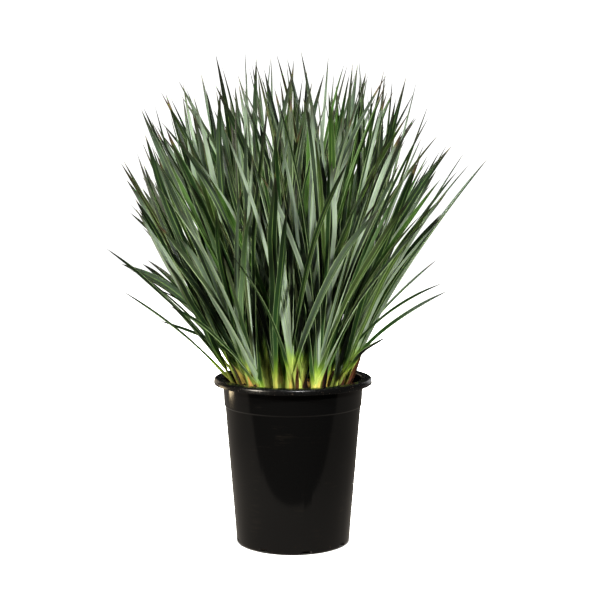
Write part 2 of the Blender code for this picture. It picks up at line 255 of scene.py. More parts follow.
# Bark chips and pot
MIX_SIDES = 96
CHIP_SHAPES = 6
CHIP_CORNERS = 12
CHIP_FLATNESS = (0.25, 0.7)
CHIP_HALF_WIDTHS = (0.28, 0.36)
CHIP_DENSITY = 250000.0
CHIP_TURNS = (0.9, 0.9, 6.283)
CHIP_SEED = 7
POT_CREASE = math.radians(35)

# Studio. The camera was fitted to the rings of the pot, and looks down by its drop in degrees.
FLOOR_SIDES = 96
CAMERA_PLACE = (0.00894, -1.529, 0.456)
CAMERA_DROP = 5.5
CAMERA_LENS = 72.87
CAMERA_SENSOR = 36.0
CAMERA_REACH = 100.0

# Lights: name, place, height of the aim, sides, its power and the share of it, colour, mirrored or not
LIGHTS = (
    ("key_softbox", (0.90, -1.50, 1.3), 0.28, (0.3, 0.3), "key_power", 1.0, "FFFCF6", False),
    ("left_softbox", (-1.1, -1.4, 1.25), 0.32, (0.3, 0.3), "left_power", 1.0, "FFFFFF", False),
    ("front_softbox", (0.24, -1.5, 1.0), 0.28, (0.3, 0.3), "front_power", 1.0, "FFFFFF", True),
    ("fill_softbox", (-1.5, -1.1, 0.6), 0.3, (0.5, 0.8), "fill_power", 1.0, "FFF6E6", True),
    ("back_softbox", (-0.6, 1.7, 0.9), 0.25, (0.8, 0.8), "back_power", 1.0, "FFFFFF", False),
    ("side_softbox", (1.8, 0.7, 0.9), 0.25, (0.8, 0.8), "back_power", 0.5, "FFFFFF", False),
    # Pale cards far behind, mirrored along the sides of the pot's lip and wall
    ("right_card", (0.75, 1.3, 0.4), 0.2, (0.8, 0.8), "card_power", 1.0, "FFFFFF", True),
    ("left_card", (-0.75, 1.3, 0.4), 0.2, (0.8, 0.8), "card_power", 1.0, "F6E6D0", True),
    ("top_softbox", (0.0, 0.0, 2.2), 0.3, (1.2, 1.2), "top_power", 1.0, "FFFFFF", True),
    # A window, mirrored in the left of the pot's neck
    ("window", (-0.49, 0.215, 0.10), 0.2, (0.15, 0.06), "window_power", 1.0, "FFE9C0", True),
)

UP = Vector((0.0, 0.0, 1.0))


def linear(code):
    """An sRGB hex colour as linear red, green and blue."""
    shares = [int(code[at : at + 2], 16) / 255 for at in (0, 2, 4)]
    return tuple(s / 12.92 if s <= 0.04045 else ((s + 0.055) / 1.055) ** 2.4 for s in shares)


def smooth(value, low, high):
    """0 below low, 1 above high, and an even S between them."""
    share = min(1.0, max(0.0, (value - low) / (high - low)))
    return share * share * (3 - 2 * share)


# The growth rule of the solids


def body_radius(height):
    """The pot's outer radius below the ledge."""
    share = (height - CORNER_ROUND) / (LEDGE_HEIGHT - CORNER_ROUND)
    return BASE_RADIUS + share * (BODY_TOP_RADIUS - BASE_RADIUS)


def neck_radius(height):
    """The pot's outer radius between the ledge and the lip."""
    share = (height - LEDGE_HEIGHT) / (POT_HEIGHT - LIP_ROUND - LEDGE_HEIGHT)
    return NECK_FOOT_RADIUS + share * (NECK_TOP_RADIUS - NECK_FOOT_RADIUS)


def inside_profile(top, gap=0.0):
    """From a height on the neck down the wall to the middle of the floor, drawn in by a gap."""
    return [
        (neck_radius(top) - WALL - gap, top),
        (NECK_FOOT_RADIUS - WALL - gap, LEDGE_HEIGHT),
        (BODY_TOP_RADIUS - WALL - gap, LEDGE_HEIGHT - 2 * LEDGE_STEP),
        (body_radius(CORNER_ROUND + WALL) - WALL - gap, CORNER_ROUND + WALL),
        (BASE_RADIUS - CORNER_ROUND - gap, FLOOR + gap),
        (0.0, FLOOR + gap),
    ]


def mix_height(x, y):
    """The surface of the mix, which is a little higher in the middle."""
    share = min(1.0, math.hypot(x, y) / NECK_FOOT_RADIUS)
    return MIX_EDGE_HEIGHT + MIX_MOUND * (1 - share**2)


def mix_profile():
    half_way = NECK_FOOT_RADIUS / 2
    surface = [(0.0, mix_height(0.0, 0.0)), (half_way, mix_height(half_way, 0.0))]
    return surface + inside_profile(MIX_EDGE_HEIGHT, MIX_GAP)


def turned(name, profile, sides):
    """A closed solid of revolution from a profile of (radius, height) that starts and ends on the axis.

    Its points and faces are the same each run, but the order of its faces isn't.
    """
    bm = bmesh.new()
    points = [bm.verts.new((radius, 0.0, height)) for radius, height in profile]
    for here, there in zip(points, points[1:]):
        bm.edges.new((here, there))
    bmesh.ops.spin(
        bm,
        geom=bm.verts[:] + bm.edges[:],
        cent=(0, 0, 0),
        axis=(0, 0, 1),
        angle=2 * math.pi,
        steps=sides,
        use_merge=True,
    )
    bmesh.ops.remove_doubles(bm, verts=bm.verts, dist=1e-6)
    bmesh.ops.recalc_face_normals(bm, faces=bm.faces)
    mesh = bpy.data.meshes.new(name)
    bm.to_mesh(mesh)
    bm.free()
    mesh.shade_smooth()
    return add_object(name, mesh)


def tree_of(target):
    """A search tree of an object's surface."""
    return BVHTree.FromObject(target, bpy.context.evaluated_depsgraph_get())


def direction(lean, heading):
    """A unit vector that leans from upright towards a heading."""
    level = Vector((math.cos(heading), math.sin(heading), 0.0))
    return UP * math.cos(lean) + level * math.sin(lean)


def lens_skin(stem, heights, sizes):
    """Points and faces of a four-sided lens section carried up a stem, with flat ends."""
    corners = ((1, 0), (0, 1), (-1, 0), (0, -1))
    count = len(corners)
    points = [
        stem.foot + stem.axis * height + stem.across * (width * u) + stem.normal * (thick * v)
        for height, (width, thick) in zip(heights, sizes)
        for u, v in corners
    ]
    top = len(points) - count
    faces = [list(range(count))[::-1], list(range(top, top + count))]
    for low in range(0, top, count):
        for a in range(count):
            b = (a + 1) % count
            faces.append([low + a, low + b, low + count + b, low + count + a])
    return points, faces


class Stem:
    """What stands in the mix: its foot, its axis, and the flat way across it."""

    def __init__(self, x, y, axis, plane):
        flat = Vector((math.cos(plane), math.sin(plane), 0.0))
        self.foot = Vector((x, y, mix_height(x, y)))
        self.axis = axis
        self.across = (flat - axis * flat.dot(axis)).normalized()
        self.normal = axis.cross(self.across)


class Fan(Stem):
    """One leafy shoot: a flattened foot of folded sheaths, with leaves on its two edges."""

    def __init__(self, index, draw, pull):
        out = math.sqrt((index + 0.5) / FANS)
        bearing = index * GOLDEN_ANGLE
        stand = STAND_RADIUS * out * (1 - pull)
        x = stand * math.cos(bearing) + draw.uniform(-STAND_JITTER, STAND_JITTER)
        y = stand * math.sin(bearing) + draw.uniform(-STAND_JITTER, STAND_JITTER)
        lean = (EDGE_LEAN - SIDE_LEAN * math.cos(bearing)) * out + draw.gauss(0.0, LEAN_SPREAD)
        heading = bearing + draw.gauss(0.0, HEADING_SPREAD)
        super().__init__(x, y, direction(lean, heading), draw.uniform(0.0, math.pi))
        self.name = f"fan_{index + 1:02d}"
        self.first_side = draw.choice((-1, 1))
        self.blades = []
        self.tree = BVHTree.FromPolygons(*self.skin())

    def size(self, height):
        """Half width and half thickness of the foot at a height above the mix."""
        share = 1 - FOOT_TAPER * max(0.0, height / FOOT_HEIGHT)
        return FOOT_HALF_WIDTH * share, FOOT_HALF_THICK * share

    def skin(self, room=0.0):
        heights = (-FOOT_DEPTH, 0.0, FOOT_HEIGHT)
        sizes = [(width + room, thick + room) for width, thick in map(self.size, heights)]
        return lens_skin(self, heights, sizes)


class Blade:
    """One leaf: a midrib on a quadratic Bezier curve, a half width, and a twist from root to tip."""

    def __init__(self, root, elbow, tip, width_way, half_width, twist):
        self.root = root
        self.elbow = elbow
        self.tip = tip
        self.width_way = width_way
        self.half_width = half_width
        self.twist = twist
        self.tree = BVHTree.FromPolygons(*self.skin())

    def point(self, t):
        return self.root * (1 - t) ** 2 + self.elbow * (2 * t * (1 - t)) + self.tip * t**2

    def frame(self, t):
        """Directions across the blade and out of its upper face."""
        along = (self.elbow - self.root) * (1 - t) + (self.tip - self.elbow) * t
        along.normalize()
        across = (self.width_way - along * self.width_way.dot(along)).normalized()
        across = Matrix.Rotation(self.twist * t, 3, along) @ across
        return across, along.cross(across)

    def width_at(self, t):
        """Half width: narrow and folded at the root, even in the middle, then a long point."""
        if t < WIDE_FROM:
            return self.half_width * (ROOT_SHARE + (1 - ROOT_SHARE) * t / WIDE_FROM)
        if t < WIDE_TO:
            return self.half_width
        return self.half_width * (1 - ((t - WIDE_TO) / (1 - WIDE_TO)) ** TIP_POWER)

    def skin(self, room=0.0, start=0.0):
        """Points and triangles of the keeled blade, thicker by room all round, from start to the tip."""
        stations = [start] + [t for t in BLADE_STATIONS if t > start]
        points = []
        for t in stations:
            middle = self.point(t)
            across, upward = self.frame(t)
            half = self.width_at(t)
            keel = max(KEEL_LEAST, half * KEEL_SHARE)
            edge = upward * (keel / 2 + room)
            points.append(middle + across * (half + room) + edge)
            points.append(middle - upward * (keel + room))
            points.append(middle - across * (half + room) + edge)
        last = len(points) - 3
        points.append(self.point(1.0))
        faces = [(0, 1, 2)]
        for low in range(0, last, 3):
            for a, b in ((0, 1), (1, 2)):
                faces.append((low + a, low + b + 3, low + b))
                faces.append((low + a, low + a + 3, low + b + 3))
            faces.append((low + 2, low + 5, low))
            faces.append((low, low + 5, low + 3))
        faces += [(last + a, last + 3, last + (a + 1) % 3) for a in range(3)]
        return points, faces


def dome_reach(lean):
    """How far the leaf tips stand from the middle of the mix, by their lean from upright."""
    return CROWN_REACH - SHOULDER_DROP * (lean / SHOULDER_LEAN) ** SHOULDER_POWER


def length_to_dome(root, towards, share):
    """How long a straight line from a root is when it ends at a share of the dome's reach."""
    length = CROWN_REACH * share
    for _ in range(4):
        out = root + towards * length - UP * MIX_EDGE_HEIGHT
        length += dome_reach(out.angle(UP)) * share - out.length
    return length


def draw_blade(fan, number, draw, wander, half_widths=HALF_WIDTHS):
    """One try at a fan's leaf. Leaves are numbered from the oldest, lowest on the foot, upwards."""
    age = 1 - number / (LEAVES - 1)
    side = fan.first_side * (1 if number % 2 == 0 else -1)
    splay = SPLAY_YOUNGEST + (SPLAY_OLDEST - SPLAY_YOUNGEST) * age
    splay *= draw.uniform(*SPLAY_SHARES)
    stray = draw.gauss(0.0, STRAY_SPREAD * wander)
    height = HIGHEST_ROOT + (LOWEST_ROOT - HIGHEST_ROOT) * age
    root = fan.foot + fan.axis * height + fan.across * (side * fan.size(height)[0] * ROOT_OFFSET)

    def way(in_plane, out_of_plane):
        sideways = fan.across * (side * math.sin(in_plane)) + fan.normal * math.sin(out_of_plane)
        return (fan.axis * math.cos(in_plane) + sideways).normalized()

    towards = way(splay, stray)
    length = length_to_dome(root, towards, draw.triangular(*REACH_SHARES))
    tip = root + towards * length
    tip.z -= DROOP * length * (1 - towards.z**2)
    elbow = root + way(splay * START_SHARE, stray * START_SHARE) * (length / 2)
    twist = draw.gauss(0.0, TWIST_SPREAD)
    return Blade(root, elbow, tip, fan.normal * side, draw.uniform(*half_widths), twist)


def draw_reaching(fan, tip, draw):
    """One try at a leaf of a fan that ends at a given point, rising first and then bending over."""
    root = fan.foot + fan.axis * draw.uniform(LOWEST_ROOT, HIGHEST_ROOT / 2)
    straight = tip - root
    rise = (fan.axis + straight.normalized() * draw.uniform(*RISE_SHARES)).normalized()
    elbow = root + rise * (straight.length * draw.uniform(*ELBOW_SHARES))
    across = straight.cross(UP).normalized()
    twist = draw.gauss(0.0, TWIST_SPREAD / 2)
    return Blade(root, elbow, tip, across, draw.uniform(*HALF_WIDTHS), twist)


def stands_clear(blade, fan, fans, solids):
    """Whether a blade touches no solid and no other fan, nor a leaf of its own fan past the foot."""
    whole = BVHTree.FromPolygons(*blade.skin(ELBOW_ROOM))
    free = BVHTree.FromPolygons(*blade.skin(ELBOW_ROOM, FREE_FROM))
    if any(whole.overlap(solid) for solid in solids):
        return False
    for other in fans:
        if other is fan:
            if any(free.overlap(leaf.tree) for leaf in fan.blades):
                return False
        elif whole.overlap(other.tree) or any(whole.overlap(leaf.tree) for leaf in other.blades):
            return False
    return True


def stand_fans(draw, pot_tree):
    """Draws each fan's foot, pulled in more with each try, until it stands clear of the rest."""
    fans = []
    for index in range(FANS):
        for attempt in range(TRIES):
            fan = Fan(index, draw, STAND_PULL * attempt / TRIES)
            room = BVHTree.FromPolygons(*fan.skin(ELBOW_ROOM))
            if not any(room.overlap(tree) for tree in [pot_tree] + [one.tree for one in fans]):
                break
        fans.append(fan)
    return fans


def grow_named_tips(fans, draw, solids):
    """Gives each leaf with a known tip to a fan that points its way and can carry it clear."""
    tips = [Vector((x, draw.gauss(0.0, SKYLINE_DEPTH), z)) for x, z in SKYLINE_TIPS]
    tips += [Vector(tip) for tip in STRAY_TIPS]
    for tip in tips:
        facing = sorted(fans, key=lambda fan: (tip - fan.foot).angle(fan.axis))
        facing = [fan for fan in facing if len(fan.blades) < NAMED_TIPS_A_FAN]
        for attempt in range(TRIES):
            fan = facing[attempt % FANS_TO_ASK]
            blade = draw_reaching(fan, tip, draw)
            if stands_clear(blade, fan, fans, solids):
                fan.blades.append(blade)
                break


def grow_leaves(fans, draw, solids):
    """Draws every other leaf in turn, oldest first, until each stands clear of the rest."""
    given = [len(fan.blades) for fan in fans]
    for number in range(LEAVES):
        for fan, already in zip(fans, given):
            if number < already:
                continue
            for attempt in range(TRIES):
                blade = draw_blade(fan, number, draw, 1 + WANDER_MORE * attempt / TRIES)
                if stands_clear(blade, fan, fans, solids):
                    fan.blades.append(blade)
                    break


class Sheath(Stem):
    """A dry leaf base, a narrow papery strip that stands by itself in the mix between the fans."""

    def __init__(self, draw):
        bearing = draw.uniform(0.0, 2 * math.pi)
        out = draw.uniform(*DRY_STANDS)
        axis = direction(draw.uniform(*DRY_LEANS), bearing)
        plane = draw.uniform(0.0, math.pi)
        super().__init__(out * math.cos(bearing), out * math.sin(bearing), axis, plane)
        self.height = draw.uniform(*DRY_HEIGHTS)

    def skin(self, room=0.0):
        heights = (-DRY_DEPTH, 0.0, self.height / 2, self.height)
        sizes = [(width + room, thick + room) for width, thick in DRY_SECTIONS]
        return lens_skin(self, heights, sizes)


def stand_sheaths(draw, fans, pot_tree):
    """Dry sheaths stand near the edge of the clump, wherever the draw finds them room."""
    taken = [pot_tree] + [fan.tree for fan in fans]
    taken += [blade.tree for fan in fans for blade in fan.blades]
    sheaths = []
    while len(sheaths) < DRY_SHEATHS:
        sheath = Sheath(draw)
        room = BVHTree.FromPolygons(*sheath.skin(DRY_ROOM))
        if not any(room.overlap(tree) for tree in taken):
            taken.append(room)
            sheaths.append(sheath)
    return sheaths


def grow_slim_leaves(fans, draw, solids):
    """Gives each fan a narrow young leaf, too slim for the solids, if it finds room among the rest."""
    for fan in fans:
        for _ in range(SLIM_TRIES):
            number = draw.randrange(LEAVES)
            blade = draw_blade(fan, number, draw, 1.0, SLIM_HALF_WIDTHS)
            if stands_clear(blade, fan, fans, solids):
                fan.blades.append(blade)
                break


grown = {}


def grow_clump():
    """Grows the fans and dry sheaths once, and stops if a fan isn't where its solid is."""
    if grown:
        return grown["fans"], grown["sheaths"]
    pot_tree = tree_of(frame["nodes"]["pot"])
    guide = turned("mix_guide", mix_profile(), SOLID_SIDES)
    solids = [pot_tree, tree_of(guide)]
    bpy.data.meshes.remove(guide.data)
    draw = random.Random(SEED)
    fans = stand_fans(draw, pot_tree)
    grow_named_tips(fans, draw, solids)
    grow_leaves(fans, draw, solids)
    sheaths = stand_sheaths(draw, fans, pot_tree)
    for fan in fans:
        points = fan.skin()[0] + [point for blade in fan.blades for point in blade.skin()[0]]
        low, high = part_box(fan.name)
        for axis in range(3):
            spread = [point[axis] for point in points]
            if max(low[axis] - min(spread), max(spread) - high[axis]) > BOX_MATCH:
                raise RuntimeError(f"{fan.name} grew away from its solid")
    grow_slim_leaves(fans, random.Random(LOOKS_SEED), solids)
    grown.update(fans=fans, sheaths=sheaths)
    return fans, sheaths


# Objects, node trees and materials


def add_object(name, data):
    made = bpy.data.objects.new(name, data)
    bpy.context.scene.collection.objects.link(made)
    return made


def opaque(colour):
    """A hex code, or red, green and blue, as a colour with full alpha."""
    return (*(linear(colour) if isinstance(colour, str) else colour), 1.0)


def put(tree, kind, inputs=None, stops=(), **settings):
    """Adds a node. An input is a value, or a socket or node to link, by name, identifier or number."""
    node = tree.nodes.new(kind)
    for name, value in settings.items():
        setattr(node, name, value)
    for key, value in (inputs or {}).items():
        named = [socket for socket in node.inputs if socket.identifier == key]
        socket = named[0] if named else node.inputs[key]
        if isinstance(value, bpy.types.Node):
            value = next(output for output in value.outputs if output.enabled)
        if isinstance(value, bpy.types.NodeSocket):
            tree.links.new(value, socket)
        else:
            socket.default_value = opaque(value) if socket.type == "RGBA" else value
    elements = node.color_ramp.elements if stops else ()
    while len(elements) < len(stops):
        elements.new(1.0)
    for element, (place, colour) in zip(elements, stops):
        element.position = place
        element.color = opaque(colour)
    return node


def new_tree(name, inputs):
    """A geometry tree with a geometry socket in and out, and named inputs of (kind, default)."""
    tree = bpy.data.node_groups.new(name, "GeometryNodeTree")
    tree.interface.new_socket("Geometry", in_out="INPUT", socket_type="NodeSocketGeometry")
    tree.interface.new_socket("Geometry", in_out="OUTPUT", socket_type="NodeSocketGeometry")
    for label, (kind, default) in inputs.items():
        socket = tree.interface.new_socket(label, in_out="INPUT", socket_type=f"NodeSocket{kind}")
        if default is not None:
            socket.default_value = default
    return tree, put(tree, "NodeGroupInput"), put(tree, "NodeGroupOutput")


def apply_tree(target, tree, values):
    """Runs a tree on an object with named inputs, and leaves its result as a plain mesh."""
    step = target.modifiers.new(tree.name, "NODES")
    step.node_group = tree
    for item in tree.interface.items_tree:
        if item.in_out == "INPUT" and item.name in values:
            step[item.identifier] = values[item.name]
    bpy.context.view_layer.update()
    graph = bpy.context.evaluated_depsgraph_get()
    before = target.data
    target.data = bpy.data.meshes.new_from_object(target.evaluated_get(graph))
    target.modifiers.clear()
    target.data.name = target.name
    bpy.data.meshes.remove(before)
    return target


def finish_piece(piece, slot, *nodes):
    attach(piece, "root")
    if nodes:
        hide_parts(*nodes)


def new_material(name):
    made = bpy.data.materials.new(name)
    made.use_nodes = True
    made.node_tree.nodes.clear()
    return made, made.node_tree


# Leaves

SPINE_VECTORS = ("spot", "side", "rise", "hug", "keel", "skin_keel", "skin_arm", "skin_side")
SPINE_NUMBERS = ("wrap", "reach", "run", "tint", "lime", "dry", "along")


class Spine:
    """Chains of points, one chain for each leaf, that carry what the leaf tree reads."""

    def __init__(self):
        self.edges = []
        self.values = {key: [] for key in SPINE_VECTORS + SPINE_NUMBERS}
        self.count = 0
        self.chained = False

    def start_leaf(self):
        self.chained = False

    def add(self, **station):
        for key in SPINE_VECTORS:
            self.values[key].extend(station[key])
        for key in SPINE_NUMBERS:
            self.values[key].append(station[key])
        if self.chained:
            self.edges.append((self.count - 1, self.count))
        self.chained = True
        self.count += 1

    def build(self, name):
        spots = self.values["spot"]
        points = [spots[at : at + 3] for at in range(0, len(spots), 3)]
        mesh = bpy.data.meshes.new(name)
        mesh.from_pydata(points, self.edges, [])
        for key in SPINE_VECTORS:
            carried = mesh.attributes.new(key, "FLOAT_VECTOR", "POINT")
            carried.data.foreach_set("vector", self.values[key])
        for key in SPINE_NUMBERS:
            carried = mesh.attributes.new(key, "FLOAT", "POINT")
            carried.data.foreach_set("value", self.values[key])
        return add_object(name, mesh)


def add_station(spine, middle, across, upward, half, fold, thin, grip, lens, wrap, **more):
    """One section of a leaf: a free V about its midrib, mixed by grip with a sheath round its stem.

    lens is the sheath's centre, the way to its keeled edge, the way out of its flat face, and its
    half width and half thickness there.
    """
    flat = half / math.cos(fold)
    centre, edge_way, face_way, wide, thick = lens
    free = 1 - grip
    depth = flat * math.sin(fold)
    spine.add(
        spot=(middle - upward * (depth * MIDRIB_SHARE)) * free + centre * grip,
        side=across * (flat * math.cos(fold) * free),
        rise=upward * (depth * free),
        hug=face_way * (thick * grip),
        keel=edge_way * (wide * grip),
        skin_keel=(upward * free - edge_way * grip) * thin,
        skin_arm=upward * (math.cos(fold) * free * thin),
        skin_side=(across * (-math.sin(fold) * free) - face_way * grip) * thin,
        wrap=wrap,
        reach=1000 * (flat * free + wide * wrap * grip),
        **more,
    )


def fold_at(blade, t, middle_fold):
    """Half width and fold of the open blade: nearly shut at the root, a shallow V from there on."""
    half = blade.width_at(t)
    if t > WIDE_TO:
        half = blade.half_width * (1 - ((t - WIDE_TO) / (1 - WIDE_TO)) ** FULL_TIP_POWER)
    half = max(half, TIP_HALF_WIDTH * (1 - smooth(t, TIP_POINT, 1.0)))
    if t >= WIDE_FROM:
        return half, middle_fold
    flat = blade.half_width / math.cos(middle_fold) * (ROOT_FLAT + (1 - ROOT_FLAT) * t / WIDE_FROM)
    return half, math.acos(min(math.cos(middle_fold), half / flat))


def add_leaf(spine, fan, blade, rank, stations, lime_top, draw):
    """A leaf from below the mix, up round the fan's foot and out along its midrib to the tip."""
    across, upward = blade.frame(0.0)
    side = 1 if upward.dot(fan.across) < 0 else -1
    edge_way = fan.across * side
    face_way = fan.normal * side
    start = (blade.root - fan.foot).dot(fan.axis)
    nest = NEST_OUTER - NEST_STEP * rank
    middle_fold = draw.uniform(*FOLD_RANGE)
    tint = draw.random()
    if blade.tip.z < LOW_TIP:
        # The lowest leaves are the oldest, and have lost most of their wax
        tint = WORN_TINTS[0] + WORN_TINTS[1] * tint
    lime_from = lime_top + draw.uniform(-LIME_SHIFT, LIME_SHIFT)
    lime_to = lime_from + draw.uniform(*LIME_FADES)
    brown_from = DEAD_TIP_START - draw.choice(DEAD_TIPS)
    phase = draw.uniform(0.0, 2 * math.pi)
    turns = draw.uniform(*SWAY_TURNS) * 2 * math.pi

    def lens(height):
        wide, thick = fan.size(min(height, FOOT_HEIGHT))
        return fan.foot + fan.axis * height, edge_way, face_way, wide * nest, thick * nest

    def marks(run, t):
        return {
            "run": 1000 * run,
            "tint": tint,
            "lime": 1 - smooth(run, lime_from, lime_to),
            "dry": smooth(t, brown_from - DEAD_TIP_FADE[0], brown_from + DEAD_TIP_FADE[1]),
            "along": t,
        }

    spine.start_leaf()
    steps = max(2, math.ceil((start + BURIED) / BURIED_STEP))
    for step in range(steps):
        height = -BURIED + (start + BURIED) * step / steps
        middle = fan.foot + fan.axis * height
        half, fold = fold_at(blade, 0.0, middle_fold)
        add_station(
            spine, middle, across, upward, half, fold, 1.0, 1.0, lens(height), WRAP, **marks(height, 0.0)
        )
    gone = 0.0
    before = blade.root
    for step in range(stations + 1):
        t = (step / stations) ** STATION_POWER
        point = blade.point(t)
        gone += (point - before).length
        before = point
        across, upward = blade.frame(t)
        half, fold = fold_at(blade, t, middle_fold)
        grip = 1 - smooth(gone, 0.0, HUG_LENGTH)
        sway = SWAY * min(1.0, 3 * t) * math.sin(turns * t + phase)
        thin = min(1.0, (1 - t) / TIP_THIN)
        add_station(
            spine, point + across * sway, across, upward, half, fold, thin, grip,
            lens(start + gone * grip), WRAP, **marks(start + gone, t),
        )


def leaf_tree():
    """Sweeps a folded section along each chain, by the vectors that its points carry."""
    tree, given, result = new_tree(
        LEAF_TREE,
        {
            "Facets a side": ("Int", 3),
            "Blade thickness": ("Float", 0.0005),
            "Material": ("Material", None),
        },
    )
    facets = given.outputs["Facets a side"]
    # The section is a closed ring: u runs from edge to edge on the outside, and back on the inside
    count = put(tree, "ShaderNodeMath", {0: facets, 1: 2.0, 2: 1.0}, operation="MULTIPLY_ADD")
    both = put(tree, "ShaderNodeMath", {0: count, 1: 2.0}, operation="MULTIPLY")
    ring = put(tree, "GeometryNodeCurvePrimitiveCircle", {"Resolution": both, "Radius": 0.001})
    index = put(tree, "GeometryNodeInputIndex")
    place = put(tree, "ShaderNodeMath", {0: index, 1: count}, operation="MODULO")
    turn = put(tree, "ShaderNodeMath", {0: index, 1: count}, operation="DIVIDE")
    inner = put(tree, "ShaderNodeMath", {0: turn}, operation="FLOOR")
    share = put(tree, "ShaderNodeMath", {0: place, 1: facets}, operation="DIVIDE")
    from_middle = put(tree, "ShaderNodeMath", {0: share, 1: 1.0}, operation="SUBTRACT")
    sense = put(tree, "ShaderNodeMath", {0: inner, 1: -2.0, 2: 1.0}, operation="MULTIPLY_ADD")
    u = put(tree, "ShaderNodeMath", {0: from_middle, 1: sense}, operation="MULTIPLY")
    # Both are stored on the ring, because the swept skin keeps what the ring carries
    for name, value in (("u", u), ("inner", inner)):
        ring = put(
            tree, "GeometryNodeStoreNamedAttribute", {"Geometry": ring, "Name": name, "Value": value},
            data_type="FLOAT", domain="POINT",
        )
    chains = put(tree, "GeometryNodeMeshToCurve", {"Mesh": given.outputs["Geometry"]})
    skin = put(tree, "GeometryNodeCurveToMesh", {"Curve": chains, "Profile Curve": ring, "Fill Caps": True})

    u, inner, wrap, reach, run = (
        put(tree, "GeometryNodeInputNamedAttribute", {"Name": key}, data_type="FLOAT")
        for key in ("u", "inner", "wrap", "reach", "run")
    )
    size = put(tree, "ShaderNodeMath", {0: u}, operation="ABSOLUTE")
    sign = put(tree, "ShaderNodeMath", {0: u}, operation="SIGN")
    back = put(tree, "ShaderNodeMath", {0: size, 1: wrap}, operation="MULTIPLY")
    towards_keel = put(tree, "ShaderNodeMath", {0: 1.0, 1: back}, operation="SUBTRACT")
    squared = put(tree, "ShaderNodeMath", {0: towards_keel, 1: towards_keel}, operation="MULTIPLY")
    bulge = put(tree, "ShaderNodeMath", {0: 1.0, 1: squared}, operation="SUBTRACT")
    round_face = put(tree, "ShaderNodeMath", {0: sign, 1: bulge}, operation="MULTIPLY")
    off_keel = put(tree, "ShaderNodeMath", {0: size, 1: facets}, operation="MULTIPLY", use_clamp=True)
    off_signed = put(tree, "ShaderNodeMath", {0: off_keel, 1: sign}, operation="MULTIPLY")
    on_keel = put(tree, "ShaderNodeMath", {0: 1.0, 1: off_keel}, operation="SUBTRACT")

    # Where the outer skin lies, and the way inwards from it: carried vectors, each scaled and summed
    outer = {"spot": 1.0, "side": u, "rise": size, "hug": round_face, "keel": towards_keel}
    inward = {"skin_keel": on_keel, "skin_arm": off_keel, "skin_side": off_signed}
    sums = []
    for weights in (outer, inward):
        total = None
        for key, weight in weights.items():
            carried = put(tree, "GeometryNodeInputNamedAttribute", {"Name": key}, data_type="FLOAT_VECTOR")
            scaled = put(tree, "ShaderNodeVectorMath", {0: carried, "Scale": weight}, operation="SCALE")
            if total is None:
                total = scaled
            else:
                total = put(tree, "ShaderNodeVectorMath", {0: total, 1: scaled}, operation="ADD")
        sums.append(total)
    deep = put(
        tree, "ShaderNodeMath", {0: inner, 1: given.outputs["Blade thickness"]}, operation="MULTIPLY"
    )
    inset = put(tree, "ShaderNodeVectorMath", {0: sums[1], "Scale": deep}, operation="SCALE")
    place = put(tree, "ShaderNodeVectorMath", {0: sums[0], 1: inset}, operation="ADD")
    skin = put(tree, "GeometryNodeSetPosition", {"Geometry": skin, "Position": place})
    wide = put(tree, "ShaderNodeMath", {0: u, 1: reach}, operation="MULTIPLY")
    flat = put(tree, "ShaderNodeCombineXYZ", {0: wide, 1: run})
    skin = put(
        tree, "GeometryNodeStoreNamedAttribute", {"Geometry": skin, "Name": "UVMap", "Value": flat},
        data_type="FLOAT2", domain="CORNER",
    )
    skin = put(tree, "GeometryNodeMergeByDistance", {"Geometry": skin, "Distance": 1e-5})
    skin = put(tree, "GeometryNodeSetShadeSmooth", {"Geometry": skin})
    skin = put(tree, "GeometryNodeRealizeInstances", {"Geometry": skin})
    skin = put(tree, "GeometryNodeSetMaterial", {"Geometry": skin, "Material": given.outputs["Material"]})
    tree.links.new(skin.outputs[0], result.inputs["Geometry"])
    return tree


def dress_spine(spine, name, thickness, facets, finish):
    """Runs the leaf tree on a spine, and drops what only the tree reads."""
    piece = spine.build(name)
    tree = bpy.data.node_groups.get(LEAF_TREE) or leaf_tree()
    apply_tree(piece, tree, {"Facets a side": facets, "Blade thickness": thickness, "Material": finish})
    for key in SPINE_VECTORS + ("wrap", "reach", "run"):
        piece.data.attributes.remove(piece.data.attributes[key])
    piece.data.set_sharp_from_angle(angle=LEAF_CREASE)
    return piece


